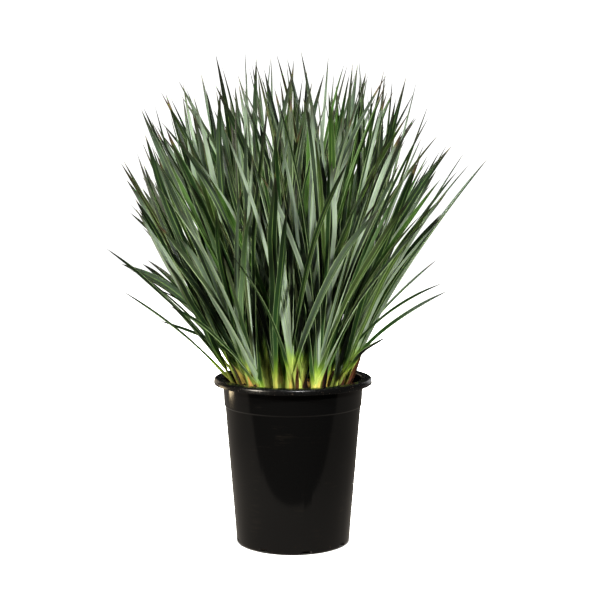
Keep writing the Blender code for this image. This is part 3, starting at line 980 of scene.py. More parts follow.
def leaf_finish(settings):
    """Waxy flax lily leaf: a blue green bloom outside, and a darker, greener, glossier inner face.

    It has parallel veins, a lime yellow sheath near the mix, and tips that die back brown.
    """
    made, tree = new_material("waxy_flax_lily_leaf")
    flat = put(tree, "ShaderNodeUVMap", uv_map="UVMap")
    across, run, _ = put(tree, "ShaderNodeSeparateXYZ", {0: flat}).outputs
    tint, lime, dry, inner, along, u = (
        put(tree, "ShaderNodeAttribute", attribute_name=name).outputs["Fac"]
        for name in ("tint", "lime", "dry", "inner", "along", "u")
    )
    # Each leaf has a green of its own
    green = put(
        tree, "ShaderNodeValToRGB", {0: tint},
        stops=(
            (0.0, "4A6A30"),
            (0.06, "385620"),
            (0.12, "12260A"),
            (0.45, settings.blade_colour),
            (0.8, "1A3315"),
            (0.95, "3C4C24"),
            (1.0, "2C2014"),
        ),
    )
    # and two more numbers, which its tint gives
    drawn = []
    for times in (23.0, 11.0):
        many = put(tree, "ShaderNodeMath", {0: tint, 1: times}, operation="MULTIPLY")
        drawn.append(put(tree, "ShaderNodeMath", {0: many}, operation="FRACT"))
    spread, ripe = drawn
    # Streaks a few millimetres wide run with the veins, and flecks stand every few centimetres
    shifted = put(tree, "ShaderNodeMath", {0: tint, 1: 60.0}, operation="MULTIPLY")
    apart = put(tree, "ShaderNodeCombineXYZ", {2: shifted})
    noises = []
    for per_millimetre, detail in (((0.35, 0.012, 1.0), 3.0), ((0.22, 0.08, 1.0), 5.0)):
        stretched = put(tree, "ShaderNodeVectorMath", {0: flat, 1: per_millimetre}, operation="MULTIPLY")
        placed = put(tree, "ShaderNodeVectorMath", {0: stretched, 1: apart}, operation="ADD")
        noises.append(put(tree, "ShaderNodeTexNoise", {"Vector": placed, "Scale": 1.0, "Detail": detail}))
    streak, flecks = noises
    # Wax wears off in streaks, and lies thicker on the outer face
    worn = put(tree, "ShaderNodeMapRange", {0: streak, 1: 0.30, 2: 0.62, 3: 0.42, 4: 0.88})
    less_inside = put(tree, "ShaderNodeMapRange", {0: inner, 3: 1.0, 4: 0.3})
    on_face = put(tree, "ShaderNodeMath", {0: worn, 1: less_inside}, operation="MULTIPLY")
    # Some leaves have next to none, as do the bright green young ones and the brown old ones
    wax = put(tree, "ShaderNodeMapRange", {0: spread, 1: 0.28, 2: 0.56, 3: 0.03, 4: 1.0})
    young = put(tree, "ShaderNodeMapRange", {0: tint, 1: 0.06, 2: 0.14, 3: 0.15})
    old = put(tree, "ShaderNodeMapRange", {0: tint, 1: 0.95, 2: 0.98, 3: 1.0, 4: 0.1})
    # and it thins towards the tip and the sheath
    upper = put(tree, "ShaderNodeMapRange", {0: along, 1: 0.78, 2: 0.98, 3: 1.0, 4: 0.3})
    lower = put(tree, "ShaderNodeMapRange", {0: run, 1: 20.0, 2: 70.0, 3: 0.6, 4: 1.0})
    for share in (young, old, upper, lower, on_face):
        wax = put(tree, "ShaderNodeMath", {0: wax, 1: share}, operation="MULTIPLY")
    # Veins, every 0.9 mm, are coarser than the real ones, every 0.4 mm, so that they show
    wave = put(tree, "ShaderNodeMath", {0: across, 1: 2 * math.pi / VEIN_SPACING_MM}, operation="MULTIPLY")
    vein = put(tree, "ShaderNodeMath", {0: wave}, operation="SINE")
    tone = put(tree, "ShaderNodeMapRange", {0: vein, 1: -1.0, 2: 1.0, 3: 0.86, 4: 1.06})
    # The upper part of a leaf is darker, most of all where it has little wax, and so is its inner face
    darkest = put(tree, "ShaderNodeMapRange", {0: spread, 1: 0.28, 2: 0.56, 3: 0.36, 4: 0.72})
    shade = put(tree, "ShaderNodeMapRange", {0: along, 1: 0.42, 2: 0.95, 3: 1.0, 4: darkest})
    inside = put(tree, "ShaderNodeMapRange", {0: inner, 3: 1.0, 4: 0.5})
    shade = put(tree, "ShaderNodeMath", {0: shade, 1: inside}, operation="MULTIPLY")
    tone = put(tree, "ShaderNodeMath", {0: tone, 1: shade}, operation="MULTIPLY")
    dark_tip = put(tree, "ShaderNodeMapRange", {0: along, 1: 0.88, 2: 0.98, 4: 0.8})
    # The midrib, 0.8 mm wide, and the margins are paler, but not in the tip
    below_tip = put(tree, "ShaderNodeMapRange", {0: along, 1: 0.70, 2: 0.90, 3: 1.0, 4: 0.0})
    paler = []
    for where, ramp in ((across, {1: 0.25, 2: 0.6, 3: 0.45, 4: 0.0}), (u, {1: 0.87, 2: 0.97, 4: 0.42})):
        out = put(tree, "ShaderNodeMath", {0: where}, operation="ABSOLUTE")
        pale = put(tree, "ShaderNodeMapRange", {0: out, **ramp})
        paler.append(put(tree, "ShaderNodeMath", {0: pale, 1: below_tip}, operation="MULTIPLY"))
    rib, margin = paler
    # The sheath is yellow at the mix and lime above it, and some turn to straw where they meet it
    sheath = put(
        tree, "ShaderNodeValToRGB", {0: lime},
        stops=((0.0, "4E7430"), (0.45, "7FA434"), (0.8, settings.sheath_colour), (1.0, "97A757")),
    )
    ripe = put(tree, "ShaderNodeMapRange", {0: ripe, 1: 0.6, 2: 0.9, 4: 0.75})
    low = put(tree, "ShaderNodeMapRange", {0: run, 1: 40.0, 2: 8.0, 4: ripe})
    sheath = put(
        tree, "ShaderNodeMix", {"Factor_Float": low, "A_Color": sheath, "B_Color": "B08A48"},
        data_type="RGBA",
    )
    streaked = put(tree, "ShaderNodeMapRange", {0: streak, 1: 0.35, 2: 0.65, 3: 0.60, 4: 1.08})
    lighter = put(tree, "ShaderNodeMapRange", {0: spread, 3: 0.55, 4: 1.1})
    streaked = put(tree, "ShaderNodeMath", {0: streaked, 1: lighter}, operation="MULTIPLY")
    sheath = put(tree, "ShaderNodeVectorMath", {0: sheath, "Scale": streaked}, operation="SCALE")
    # Tips die back through straw to brown, in a ragged line
    ragged = put(tree, "ShaderNodeMath", {0: streak, 1: 0.7, 2: -0.35}, operation="MULTIPLY_ADD")
    line = put(tree, "ShaderNodeMath", {0: dry, 1: ragged}, operation="ADD", use_clamp=True)
    gone = put(tree, "ShaderNodeMapRange", {0: line, 1: 0.25, 2: 0.6})
    died = put(
        tree, "ShaderNodeValToRGB", {0: line},
        stops=((0.3, "52502C"), (0.6, "3E3424"), (1.0, "2A241C")),
    )
    fleck = put(tree, "ShaderNodeMapRange", {0: flecks, 1: 0.76, 2: 0.84, 4: 0.4})
    # Each layer lies over the ones before it. The one with no colour of its own shades them.
    colour = green
    for share, layer in (
        (wax, settings.bloom_colour),
        (dark_tip, "38342A"),
        (tone, None),
        (rib, "7F9A58"),
        (margin, "94A878"),
        (lime, sheath),
        (gone, died),
        (fleck, "42381F"),
    ):
        if layer is None:
            colour = put(tree, "ShaderNodeVectorMath", {0: colour, "Scale": share}, operation="SCALE")
            continue
        colour = put(
            tree, "ShaderNodeMix", {"Factor_Float": share, "A_Color": colour, "B_Color": layer},
            data_type="RGBA",
        )
    rough = put(tree, "ShaderNodeMapRange", {0: wax, 3: 0.34, 4: 0.50})
    height = put(tree, "ShaderNodeMath", {0: vein, 1: 0.5, 2: streak}, operation="MULTIPLY_ADD")
    bump = put(tree, "ShaderNodeBump", {"Height": height, "Strength": 0.35, "Distance": 0.0002})
    shader = put(
        tree, "ShaderNodeBsdfPrincipled",
        {
            "Base Color": colour,
            "Roughness": rough,
            "Normal": bump,
            "IOR": 1.42,
            "Subsurface Weight": 0.04,
            "Subsurface Radius": (0.5, 1.0, 0.25),
            "Subsurface Scale": 0.0015,
        },
    )
    put(tree, "ShaderNodeOutputMaterial", {"Surface": shader})
    return made


# Dead sheaths and spent wraps


def dry_finish(settings):
    """Dead leaf sheath: papery and dull, with fibres that run lengthwise and red brown patches."""
    made, tree = new_material("papery_dead_leaf_sheath")
    flat = put(tree, "ShaderNodeUVMap", uv_map="UVMap")
    tint, damp_and_painted_shade = (
        put(tree, "ShaderNodeAttribute", attribute_name=name).outputs["Fac"] for name in ("tint", "lime")
    )
    tone = put(
        tree, "ShaderNodeValToRGB", {0: tint},
        stops=((0.0, "2A1812"), (0.45, settings.dry_colour), (0.75, "6E5234"), (1.0, "A8864E")),
    )
    # Fibres about 0.5 mm apart and centimetres long
    stretched = put(tree, "ShaderNodeVectorMath", {0: flat, 1: (2.0, 0.05, 1.0)}, operation="MULTIPLY")
    fibre = put(tree, "ShaderNodeTexNoise", {"Vector": stretched, "Scale": 1.0, "Detail": 4.0})
    light = put(tree, "ShaderNodeMapRange", {0: fibre, 1: 0.36, 2: 0.66, 3: 0.35, 4: 1.6})
    colour = put(tree, "ShaderNodeVectorMath", {0: tone, "Scale": light}, operation="SCALE")
    # Damp from the mix darkens the foot
    darker = put(
        tree, "ShaderNodeMix", {"Factor_Float": damp_and_painted_shade, "A_Color": colour, "B_Color": "2C1810"},
        data_type="RGBA",
    )
    bump = put(tree, "ShaderNodeBump", {"Height": fibre, "Strength": 0.6, "Distance": 0.0004})
    shader = put(
        tree, "ShaderNodeBsdfPrincipled",
        {"Base Color": darker, "Roughness": 0.78, "Normal": bump, "IOR": 1.45},
    )
    put(tree, "ShaderNodeOutputMaterial", {"Surface": shader})
    return made


def add_dry_strip(spine, sheath, draw):
    """A dead sheath that follows its solid, folds lengthwise and curls at the top."""
    tint = draw.random()
    curl = draw.choice((-1, 1)) * draw.uniform(*DEAD_CURLS)
    spine.start_leaf()
    for step in range(DEAD_STEPS + 1):
        share = step / DEAD_STEPS
        up = -DRY_DEPTH + (sheath.height + DRY_DEPTH) * share
        turn = Matrix.Rotation(curl * 3 * share, 3, sheath.axis)
        across = turn @ sheath.across
        upward = turn @ sheath.normal
        bend = sheath.normal * (curl * DEAD_BEND * share**3)
        wide = DRY_SECTIONS[0][0] * (1 - smooth(share, 0.45, 1.0) * 0.97)
        fold = math.radians(DEAD_FOLDS[0] + DEAD_FOLDS[1] * share)
        thin = 1 - 0.9 * smooth(share, DEAD_TORN_FROM, 1.0)
        lens = (sheath.foot, across, upward, 0.0, 0.0)
        add_station(
            spine, sheath.foot + sheath.axis * up + bend, across, upward, wide, fold, thin, 0.0, lens, 1.0,
            run=1000 * up, tint=tint, lime=1 - smooth(up, 0.0, DEAD_STAIN), dry=1.0, along=share,
        )


def add_spent_wrap(spine, fan, height, side, draw):
    """What is left of an old sheath, wrapped round one edge of a fan's foot and torn to a point."""
    tint = draw.random()
    edge_way = fan.across * side
    face_way = fan.normal * side
    spine.start_leaf()
    for step in range(SPENT_STEPS + 1):
        share = step / SPENT_STEPS
        up = -BURIED + (height + BURIED) * share
        wide, thick = fan.size(up)
        loose = SPENT_LOOSENESS[0] + SPENT_LOOSENESS[1] * share
        thin = 1 - 0.9 * smooth(share, DEAD_TORN_FROM, 1.0)
        lens = (fan.foot + fan.axis * up, edge_way, face_way, wide * loose, thick * loose)
        add_station(
            spine, lens[0], edge_way, face_way, 0.001, 0.5, thin, 1.0, lens,
            SPENT_REACH * (1 - 0.97 * smooth(share, 0.15, 1.0)),
            run=1000 * up, tint=tint, lime=1 - smooth(up, 0.0, SPENT_STAIN), dry=1.0, along=share,
        )


# Potting mix


def bark_chips(draw):
    """A few irregular flakes and crumbs, one unit long, for the tree to shrink and scatter."""
    group = bpy.data.collections.new("bark_chips")
    bpy.context.scene.collection.children.link(group)
    for number in range(CHIP_SHAPES):
        bm = bmesh.new()
        flat = draw.uniform(*CHIP_FLATNESS)
        for _ in range(CHIP_CORNERS):
            spot = Vector((draw.gauss(0, 1), draw.gauss(0, 1), draw.gauss(0, 1))).normalized()
            bm.verts.new((spot.x * 0.5, spot.y * draw.uniform(*CHIP_HALF_WIDTHS), spot.z * 0.5 * flat))
        bmesh.ops.convex_hull(bm, input=bm.verts)
        loose = [vert for vert in bm.verts if not vert.link_faces]
        bmesh.ops.delete(bm, geom=loose, context="VERTS")
        bmesh.ops.recalc_face_normals(bm, faces=bm.faces)
        mesh = bpy.data.meshes.new(f"bark_chip_{number + 1}")
        bm.to_mesh(mesh)
        bm.free()
        group.objects.link(bpy.data.objects.new(mesh.name, mesh))
    return group


def chip_tree():
    """Scatters chips over the faces that look up, and keeps the ground under them.

    The scatter takes the faces in order, so a turned body gets its chips in other places each run.
    """
    tree, given, result = new_tree(
        "Scattered bark",
        {
            "Chips": ("Collection", None),
            "Least spacing": ("Float", 0.002),
            "Shortest chip": ("Float", 0.002),
            "Longest chip": ("Float", 0.009),
            "Seed": ("Int", CHIP_SEED),
            "Material": ("Material", None),
        },
    )
    normal = put(tree, "GeometryNodeInputNormal")
    split = put(tree, "ShaderNodeSeparateXYZ", {0: normal})
    upward = put(tree, "FunctionNodeCompare", {0: split.outputs[2], 1: 0.7}, operation="GREATER_THAN")
    spots = put(
        tree, "GeometryNodeDistributePointsOnFaces",
        {
            "Mesh": given.outputs["Geometry"],
            "Selection": upward,
            "Distance Min": given.outputs["Least spacing"],
            "Density Max": CHIP_DENSITY,
            "Seed": given.outputs["Seed"],
        },
        distribute_method="POISSON",
    )
    chips = put(
        tree, "GeometryNodeCollectionInfo",
        {"Collection": given.outputs["Chips"], "Separate Children": True, "Reset Children": True},
    )
    turn = put(
        tree, "FunctionNodeRandomValue",
        {0: (-CHIP_TURNS[0], -CHIP_TURNS[1], 0.0), 1: CHIP_TURNS, "Seed": 3}, data_type="FLOAT_VECTOR",
    )
    # Most chips are small: the draw is cubed before it is spread between the two lengths
    size = put(tree, "FunctionNodeRandomValue", {"Seed": 4}, data_type="FLOAT")
    cubed = put(tree, "ShaderNodeMath", {0: size.outputs[1], 1: 3.0}, operation="POWER")
    long = put(
        tree, "ShaderNodeMapRange",
        {0: cubed, 3: given.outputs["Shortest chip"], 4: given.outputs["Longest chip"]},
    )
    laid = put(
        tree, "GeometryNodeInstanceOnPoints",
        {
            "Points": spots,
            "Instance": chips,
            "Pick Instance": True,
            "Rotation": turn.outputs[0],
            "Scale": long,
        },
    )
    tone = put(tree, "FunctionNodeRandomValue", {"Seed": 5}, data_type="FLOAT")
    laid = put(
        tree, "GeometryNodeStoreNamedAttribute",
        {"Geometry": laid, "Name": "tone", "Value": tone.outputs[1]},
        data_type="FLOAT", domain="INSTANCE",
    )
    laid = put(tree, "GeometryNodeRealizeInstances", {"Geometry": laid})
    joined = put(tree, "GeometryNodeJoinGeometry")
    tree.links.new(given.outputs["Geometry"], joined.inputs[0])
    tree.links.new(laid.outputs[0], joined.inputs[0])
    covered = put(
        tree, "GeometryNodeSetMaterial", {"Geometry": joined, "Material": given.outputs["Material"]}
    )
    tree.links.new(covered.outputs[0], result.inputs["Geometry"])
    return tree


def bark_finish(settings):
    """Composted pine bark: damp, dark and dull, each chip its own brown, with pale broken faces."""
    made, tree = new_material("composted_pine_bark")
    spot = put(tree, "ShaderNodeTexCoord").outputs["Object"]
    tone = put(tree, "ShaderNodeAttribute", attribute_name="tone").outputs["Fac"]
    # The grain of the bark, about a millimetre across
    grain = put(tree, "ShaderNodeTexNoise", {"Vector": spot, "Scale": 900.0, "Detail": 4.0})
    mottled = put(tree, "ShaderNodeMath", {0: grain, 1: 0.5, 2: tone}, operation="MULTIPLY_ADD")
    colour = put(
        tree, "ShaderNodeValToRGB", {0: mottled},
        stops=((0.15, "17100B"), (0.5, settings.bark_colour), (0.85, "5A4227"), (1.0, "86683F")),
    )
    bump = put(tree, "ShaderNodeBump", {"Height": grain, "Strength": 0.7, "Distance": 0.0006})
    shader = put(
        tree, "ShaderNodeBsdfPrincipled",
        {"Base Color": colour, "Roughness": 0.85, "Normal": bump, "IOR": 1.45},
    )
    put(tree, "ShaderNodeOutputMaterial", {"Surface": shader})
    return made


# Pot


def eased(corners):
    """A profile of (radius, height, ease) with each corner rounded off over its ease."""
    profile = []
    for number, (radius, height, ease) in enumerate(corners):
        corner = Vector((radius, height))
        if ease == 0.0:
            profile.append((radius, height))
            continue
        before = Vector(corners[number - 1][:2]) - corner
        after = Vector(corners[number + 1][:2]) - corner
        start = corner + before.normalized() * min(ease, before.length * 0.48)
        end = corner + after.normalized() * min(ease, after.length * 0.48)
        for step in range(EASE_STEPS + 1):
            s = step / EASE_STEPS
            point = start * (1 - s) ** 2 + corner * (2 * s * (1 - s)) + end * s**2
            profile.append((point.x, point.y))
    return profile


def pot_profile(lip_ease):
    """The solid pot's profile with its corners rounded as a mould rounds them."""
    lip_inside = RIM_RADIUS - WALL
    inside = inside_profile(POT_HEIGHT - LIP_ROUND)
    return eased(
        [
            (0.0, 0.0, 0.0),
            (BASE_RADIUS, 0.0, CORNER_ROUND),
            (BODY_TOP_RADIUS, LEDGE_HEIGHT - LEDGE_STEP, 0.0005),
            (NECK_FOOT_RADIUS, LEDGE_HEIGHT, 0.0006),
            (NECK_TOP_RADIUS, POT_HEIGHT - LIP_ROUND, 0.0016),
            (lip_inside, POT_HEIGHT - LIP_ROUND, 0.0009),
            (lip_inside, POT_HEIGHT - LIP_HEIGHT, 0.0005),
            (RIM_RADIUS, POT_HEIGHT - LIP_HEIGHT, 0.0009),
            (RIM_RADIUS, POT_HEIGHT, lip_ease),
            (NECK_TOP_RADIUS - WALL, POT_HEIGHT, 0.0022),
            (*inside[1], 0.0006),
            (*inside[2], 0.0006),
            (*inside[3], 0.002),
            (*inside[4], 0.002),
            (*inside[5], 0.0),
        ]
    )


def slot_block(width):
    """A short round-topped block, to be cut across the pot's lower corner."""
    half = width / 2
    outline = [(-half, -SLOT_SPRING), (half, -SLOT_SPRING)]
    for step in range(SLOT_ARC_STEPS + 1):
        turn = math.pi * step / SLOT_ARC_STEPS
        up = SLOT_SPRING + (SLOT_HEIGHT - SLOT_SPRING) * math.sin(turn)
        outline.append((half * math.cos(turn), up))
    count = len(outline)
    points = [(across, -SLOT_INNER_RADIUS, up) for across, up in outline]
    points += [(across, -RIM_RADIUS, up) for across, up in outline]
    faces = [list(range(count))[::-1], list(range(count, 2 * count))]
    for a in range(count):
        b = (a + 1) % count
        faces.append([a + count, a, b, b + count])
    mesh = bpy.data.meshes.new("slot_block")
    mesh.from_pydata(points, [], faces)
    return add_object("slot_block", mesh)


def slot_tree():
    """Cuts one block out of the pot again and again, at even turns round the middle."""
    tree, given, result = new_tree(
        "Drainage slots",
        {
            "Block": ("Object", None),
            "Slots": ("Int", 8),
            "First slot": ("Float", 0.0),
            "Material": ("Material", None),
        },
    )
    line = put(tree, "GeometryNodeMeshLine", {"Count": given.outputs["Slots"], "Offset": (0.0, 0.0, 0.0)})
    block = put(tree, "GeometryNodeObjectInfo", {"Object": given.outputs["Block"]})
    index = put(tree, "GeometryNodeInputIndex")
    share = put(tree, "ShaderNodeMath", {0: index, 1: given.outputs["Slots"]}, operation="DIVIDE")
    turn = put(
        tree, "ShaderNodeMath", {0: share, 1: 2 * math.pi, 2: given.outputs["First slot"]},
        operation="MULTIPLY_ADD",
    )
    turned_by = put(tree, "ShaderNodeCombineXYZ", {2: turn})
    blocks = put(
        tree, "GeometryNodeInstanceOnPoints",
        {"Points": line, "Instance": block.outputs["Geometry"], "Rotation": turned_by},
    )
    blocks = put(tree, "GeometryNodeRealizeInstances", {"Geometry": blocks})
    cut = put(
        tree, "GeometryNodeMeshBoolean", {"Mesh 1": given.outputs["Geometry"], "Mesh 2": blocks},
        operation="DIFFERENCE", solver="EXACT",
    )
    whole = put(tree, "GeometryNodeRealizeInstances", {"Geometry": cut.outputs["Mesh"]})
    whole = put(tree, "GeometryNodeSetMaterial", {"Geometry": whole, "Material": given.outputs["Material"]})
    tree.links.new(whole.outputs[0], result.inputs["Geometry"])
    return tree


def plastic_finish(settings):
    """Injection moulded black polypropylene: a glossy skin with faint flow waves and fine scuffs.

    Handling has dulled the lip, and dried mix is dusted on it and round the foot.
    """
    made, tree = new_material("moulded_black_polypropylene")
    spot = put(tree, "ShaderNodeTexCoord").outputs["Object"]
    up = put(tree, "ShaderNodeSeparateXYZ", {0: spot}).outputs[2]
    # Scuffs run round the pot in strokes of a few centimetres
    stretched = put(tree, "ShaderNodeVectorMath", {0: spot, 1: (40.0, 40.0, 500.0)}, operation="MULTIPLY")
    stroke = put(
        tree, "ShaderNodeTexNoise", {"Vector": stretched, "Scale": 1.0, "Detail": 6.0, "Roughness": 0.6}
    )
    # Scuffed patches, specks of dust and flow waves are about 36, 2.4 and 45 mm across
    patch, speck, wave = (
        put(tree, "ShaderNodeTexNoise", {"Vector": spot, "Scale": per_metre, "Detail": detail})
        for per_metre, detail in ((28.0, 3.0), (420.0, 5.0), (22.0, 1.0))
    )
    scuff = put(tree, "ShaderNodeMath", {0: stroke, 1: patch}, operation="MULTIPLY")
    scuffed = put(tree, "ShaderNodeMapRange", {0: scuff, 1: 0.34, 2: 0.46})
    speck = put(tree, "ShaderNodeMapRange", {0: speck, 1: 0.62, 2: 0.80})
    # Dust gathers at the foot and on the lip, where it thins towards the top
    low = put(tree, "ShaderNodeMapRange", {0: up, 1: 0.022, 2: 0.0, 3: 0.0, 4: 0.7})
    thinning = put(tree, "ShaderNodeMapRange", {0: up, 1: 0.196, 2: 0.2105, 3: 0.9, 4: 0.35})
    above = put(tree, "ShaderNodeMath", {0: up, 1: 0.2005}, operation="GREATER_THAN")
    high = put(tree, "ShaderNodeMath", {0: thinning, 1: above}, operation="MULTIPLY")
    where = put(tree, "ShaderNodeMath", {0: low, 1: high}, operation="MAXIMUM")
    dust = put(tree, "ShaderNodeMath", {0: speck, 1: where}, operation="MULTIPLY")
    colour = settings.plastic_colour
    for share, layer in ((scuffed, "100E0C"), (dust, "3C3024")):
        colour = put(
            tree, "ShaderNodeMix", {"Factor_Float": share, "A_Color": colour, "B_Color": layer},
            data_type="RGBA",
        )
    rough = put(tree, "ShaderNodeMapRange", {0: scuffed, 3: 0.12, 4: 0.27})
    dulled = put(tree, "ShaderNodeMapRange", {0: up, 1: 0.2025, 2: 0.2045, 4: 0.14})
    rough = put(tree, "ShaderNodeMath", {0: rough, 1: dulled}, operation="ADD")
    rough = put(
        tree, "ShaderNodeMath", {0: dust, 1: 0.45, 2: rough}, operation="MULTIPLY_ADD", use_clamp=True
    )
    flow = put(tree, "ShaderNodeBump", {"Height": wave, "Strength": 0.12, "Distance": 0.0008})
    fine = put(
        tree, "ShaderNodeBump", {"Height": stroke, "Strength": 0.10, "Distance": 0.0001, "Normal": flow}
    )
    shader = put(
        tree, "ShaderNodeBsdfPrincipled",
        {"Base Color": colour, "Roughness": rough, "Normal": fine, "IOR": 1.49},
    )
    put(tree, "ShaderNodeOutputMaterial", {"Surface": shader})
    return made


# Settings


class LilyLeafSettings(bpy.types.PropertyGroup):
    stations: IntProperty(
        name="Stations", description="Sections along each leaf's blade", default=30, min=8
    )
    facets: IntProperty(
        name="Facets a side", description="Faces from the midrib to each edge", default=3, min=1
    )
    thickness: FloatProperty(
        name="Blade thickness", description="Thickness of the leaves", default=0.0005, unit="LENGTH"
    )
    blade_colour: FloatVectorProperty(
        name="Blade", description="Green under the wax", default=linear("182F10"), subtype="COLOR"
    )
    bloom_colour: FloatVectorProperty(
        name="Wax bloom",
        description="The pale wax on the leaves",
        default=linear("8C998A"),
        subtype="COLOR",
    )
    sheath_colour: FloatVectorProperty(
        name="Sheath", description="The leaf bases near the mix", default=linear("98B04C"), subtype="COLOR"
    )
    dry_colour: FloatVectorProperty(
        name="Dry sheath", description="Dead sheaths", default=linear("422619"), subtype="COLOR"
    )


class LilyMixSettings(bpy.types.PropertyGroup):
    spacing: FloatProperty(
        name="Least spacing", description="Least distance between chips", default=0.0021, unit="LENGTH"
    )
    shortest: FloatProperty(
        name="Shortest chip", description="Length of the finest crumbs", default=0.0030, unit="LENGTH"
    )
    longest: FloatProperty(
        name="Longest chip", description="Length of the largest chips", default=0.0115, unit="LENGTH"
    )
    bark_colour: FloatVectorProperty(
        name="Bark", description="Colour of most of the bark", default=linear("33241A"), subtype="COLOR"
    )


class LilyPotSettings(bpy.types.PropertyGroup):
    sides: IntProperty(name="Sides", description="Faces round the pot", default=192, min=24)
    lip_ease: FloatProperty(
        name="Lip round", description="How far the lip's top edge is rounded", default=0.0038, unit="LENGTH"
    )
    slots: IntProperty(name="Slots", description="Drainage slots round the base", default=8, min=0)
    slot_width: FloatProperty(
        name="Slot width", description="Width of each drainage slot", default=0.013, unit="LENGTH"
    )
    first_slot: FloatProperty(
        name="First slot", description="Turn of the first slot", default=math.radians(14), subtype="ANGLE"
    )
    plastic_colour: FloatVectorProperty(
        name="Plastic", description="Colour of the pot", default=linear("070707"), subtype="COLOR"
    )


class LilyStudioSettings(bpy.types.PropertyGroup):
    floor_radius: FloatProperty(
        name="Floor radius", description="Radius of the floor", default=4.0, unit="LENGTH"
    )
    floor_colour: FloatVectorProperty(
        name="Floor", description="Colour of the floor", default=linear("F4F4F2"), subtype="COLOR"
    )
    key_power: FloatProperty(
        name="Key light", description="Power of the key light", default=114.0, unit="POWER"
    )
    front_power: FloatProperty(
        name="Front light", description="Power of the light along the lip", default=18.0, unit="POWER"
    )
    left_power: FloatProperty(
        name="Left light", description="Power of the light on the left", default=72.0, unit="POWER"
    )
    fill_power: FloatProperty(
        name="Fill light", description="Power of the fill light", default=32.0, unit="POWER"
    )
    back_power: FloatProperty(
        name="Back light", description="Power of the lights behind", default=82.0, unit="POWER"
    )
    top_power: FloatProperty(
        name="Top light", description="Power of the top light", default=55.0, unit="POWER"
    )
    card_power: FloatProperty(
        name="Cards", description="Power of the pale cards behind", default=2.0, unit="POWER"
    )
    window_power: FloatProperty(
        name="Window", description="Power of the window in the neck", default=0.22, unit="POWER"
    )
    room_light: FloatProperty(name="Room light", description="Strength of the light all round", default=0.03)


# Operators


class LILY_OT_leaves(bpy.types.Operator):
    """Sweep every fan's folded leaves over its solid"""

    bl_idname = "lily.leaves"
    bl_label = "Grow the leaves"

    def execute(self, context):
        settings = context.scene.lily_leaves
        finish = leaf_finish(settings)
        draw = random.Random(LOOKS_SEED)
        for fan in grow_clump()[0]:
            by_height = sorted(fan.blades, key=lambda blade: (blade.root - fan.foot).dot(fan.axis))
            spine = Spine()
            lime_top = draw.uniform(*LIME_TOPS)
            for rank, blade in enumerate(by_height):
                add_leaf(spine, fan, blade, rank, settings.stations, lime_top, draw)
            piece = dress_spine(
                spine, f"{fan.name}_leaves", settings.thickness, settings.facets, finish
            )
            finish_piece(piece, "leaf", fan.name)
        return {"FINISHED"}


class LILY_OT_dry_sheaths(bpy.types.Operator):
    """Set the dead sheaths that stand between the fans, and those still wrapped round their feet"""

    bl_idname = "lily.dry_sheaths"
    bl_label = "Set the dry sheaths"

    def execute(self, context):
        settings = context.scene.lily_leaves
        fans, sheaths = grow_clump()
        finish = dry_finish(settings)
        draw = random.Random(LOOKS_SEED + 1)
        for number, sheath in enumerate(sheaths, start=1):
            spine = Spine()
            add_dry_strip(spine, sheath, draw)
            piece = dress_spine(spine, f"dead_sheath_{number}", DEAD_THICKNESS, settings.facets, finish)
            finish_piece(piece, "dry_sheath", f"dry_sheath_{number}")
        spine = Spine()
        for fan in fans[len(fans) // 3 :: 2]:
            add_spent_wrap(spine, fan, draw.uniform(*SPENT_HEIGHTS), draw.choice((-1, 1)), draw)
        piece = dress_spine(spine, "spent_wraps", DEAD_THICKNESS, settings.facets, finish)
        finish_piece(piece, "dry_sheath")
        return {"FINISHED"}


class LILY_OT_mix(bpy.types.Operator):
    """Fill the pot with bark mix and scatter its chips"""

    bl_idname = "lily.mix"
    bl_label = "Fill with bark mix"

    def execute(self, context):
        settings = context.scene.lily_mix
        draw = random.Random(LOOKS_SEED + 2)
        piece = turned("bark_mix", mix_profile(), MIX_SIDES)
        chips = bark_chips(draw)
        apply_tree(
            piece,
            chip_tree(),
            {
                "Chips": chips,
                "Least spacing": settings.spacing,
                "Shortest chip": settings.shortest,
                "Longest chip": settings.longest,
                "Seed": CHIP_SEED,
                "Material": bark_finish(settings),
            },
        )
        for chip in list(chips.objects):
            bpy.data.meshes.remove(chip.data)
        bpy.data.collections.remove(chips)
        finish_piece(piece, "bark_mix", "potting_mix")
        return {"FINISHED"}


class LILY_OT_pot(bpy.types.Operator):
    """Mould the nursery pot, with its turned-down lip, ledge and drainage slots"""

    bl_idname = "lily.pot"
    bl_label = "Mould the pot"

    def execute(self, context):
        settings = context.scene.lily_pot
        piece = turned("nursery_pot", pot_profile(settings.lip_ease), settings.sides)
        block = slot_block(settings.slot_width)
        apply_tree(
            piece,
            slot_tree(),
            {
                "Block": block,
                "Slots": settings.slots,
                "First slot": settings.first_slot,
                "Material": plastic_finish(settings),
            },
        )
        bpy.data.meshes.remove(block.data)
        piece.data.shade_smooth()
        piece.data.set_sharp_from_angle(angle=POT_CREASE)
        finish_piece(piece, "pot_plastic", "pot")
        return {"FINISHED"}


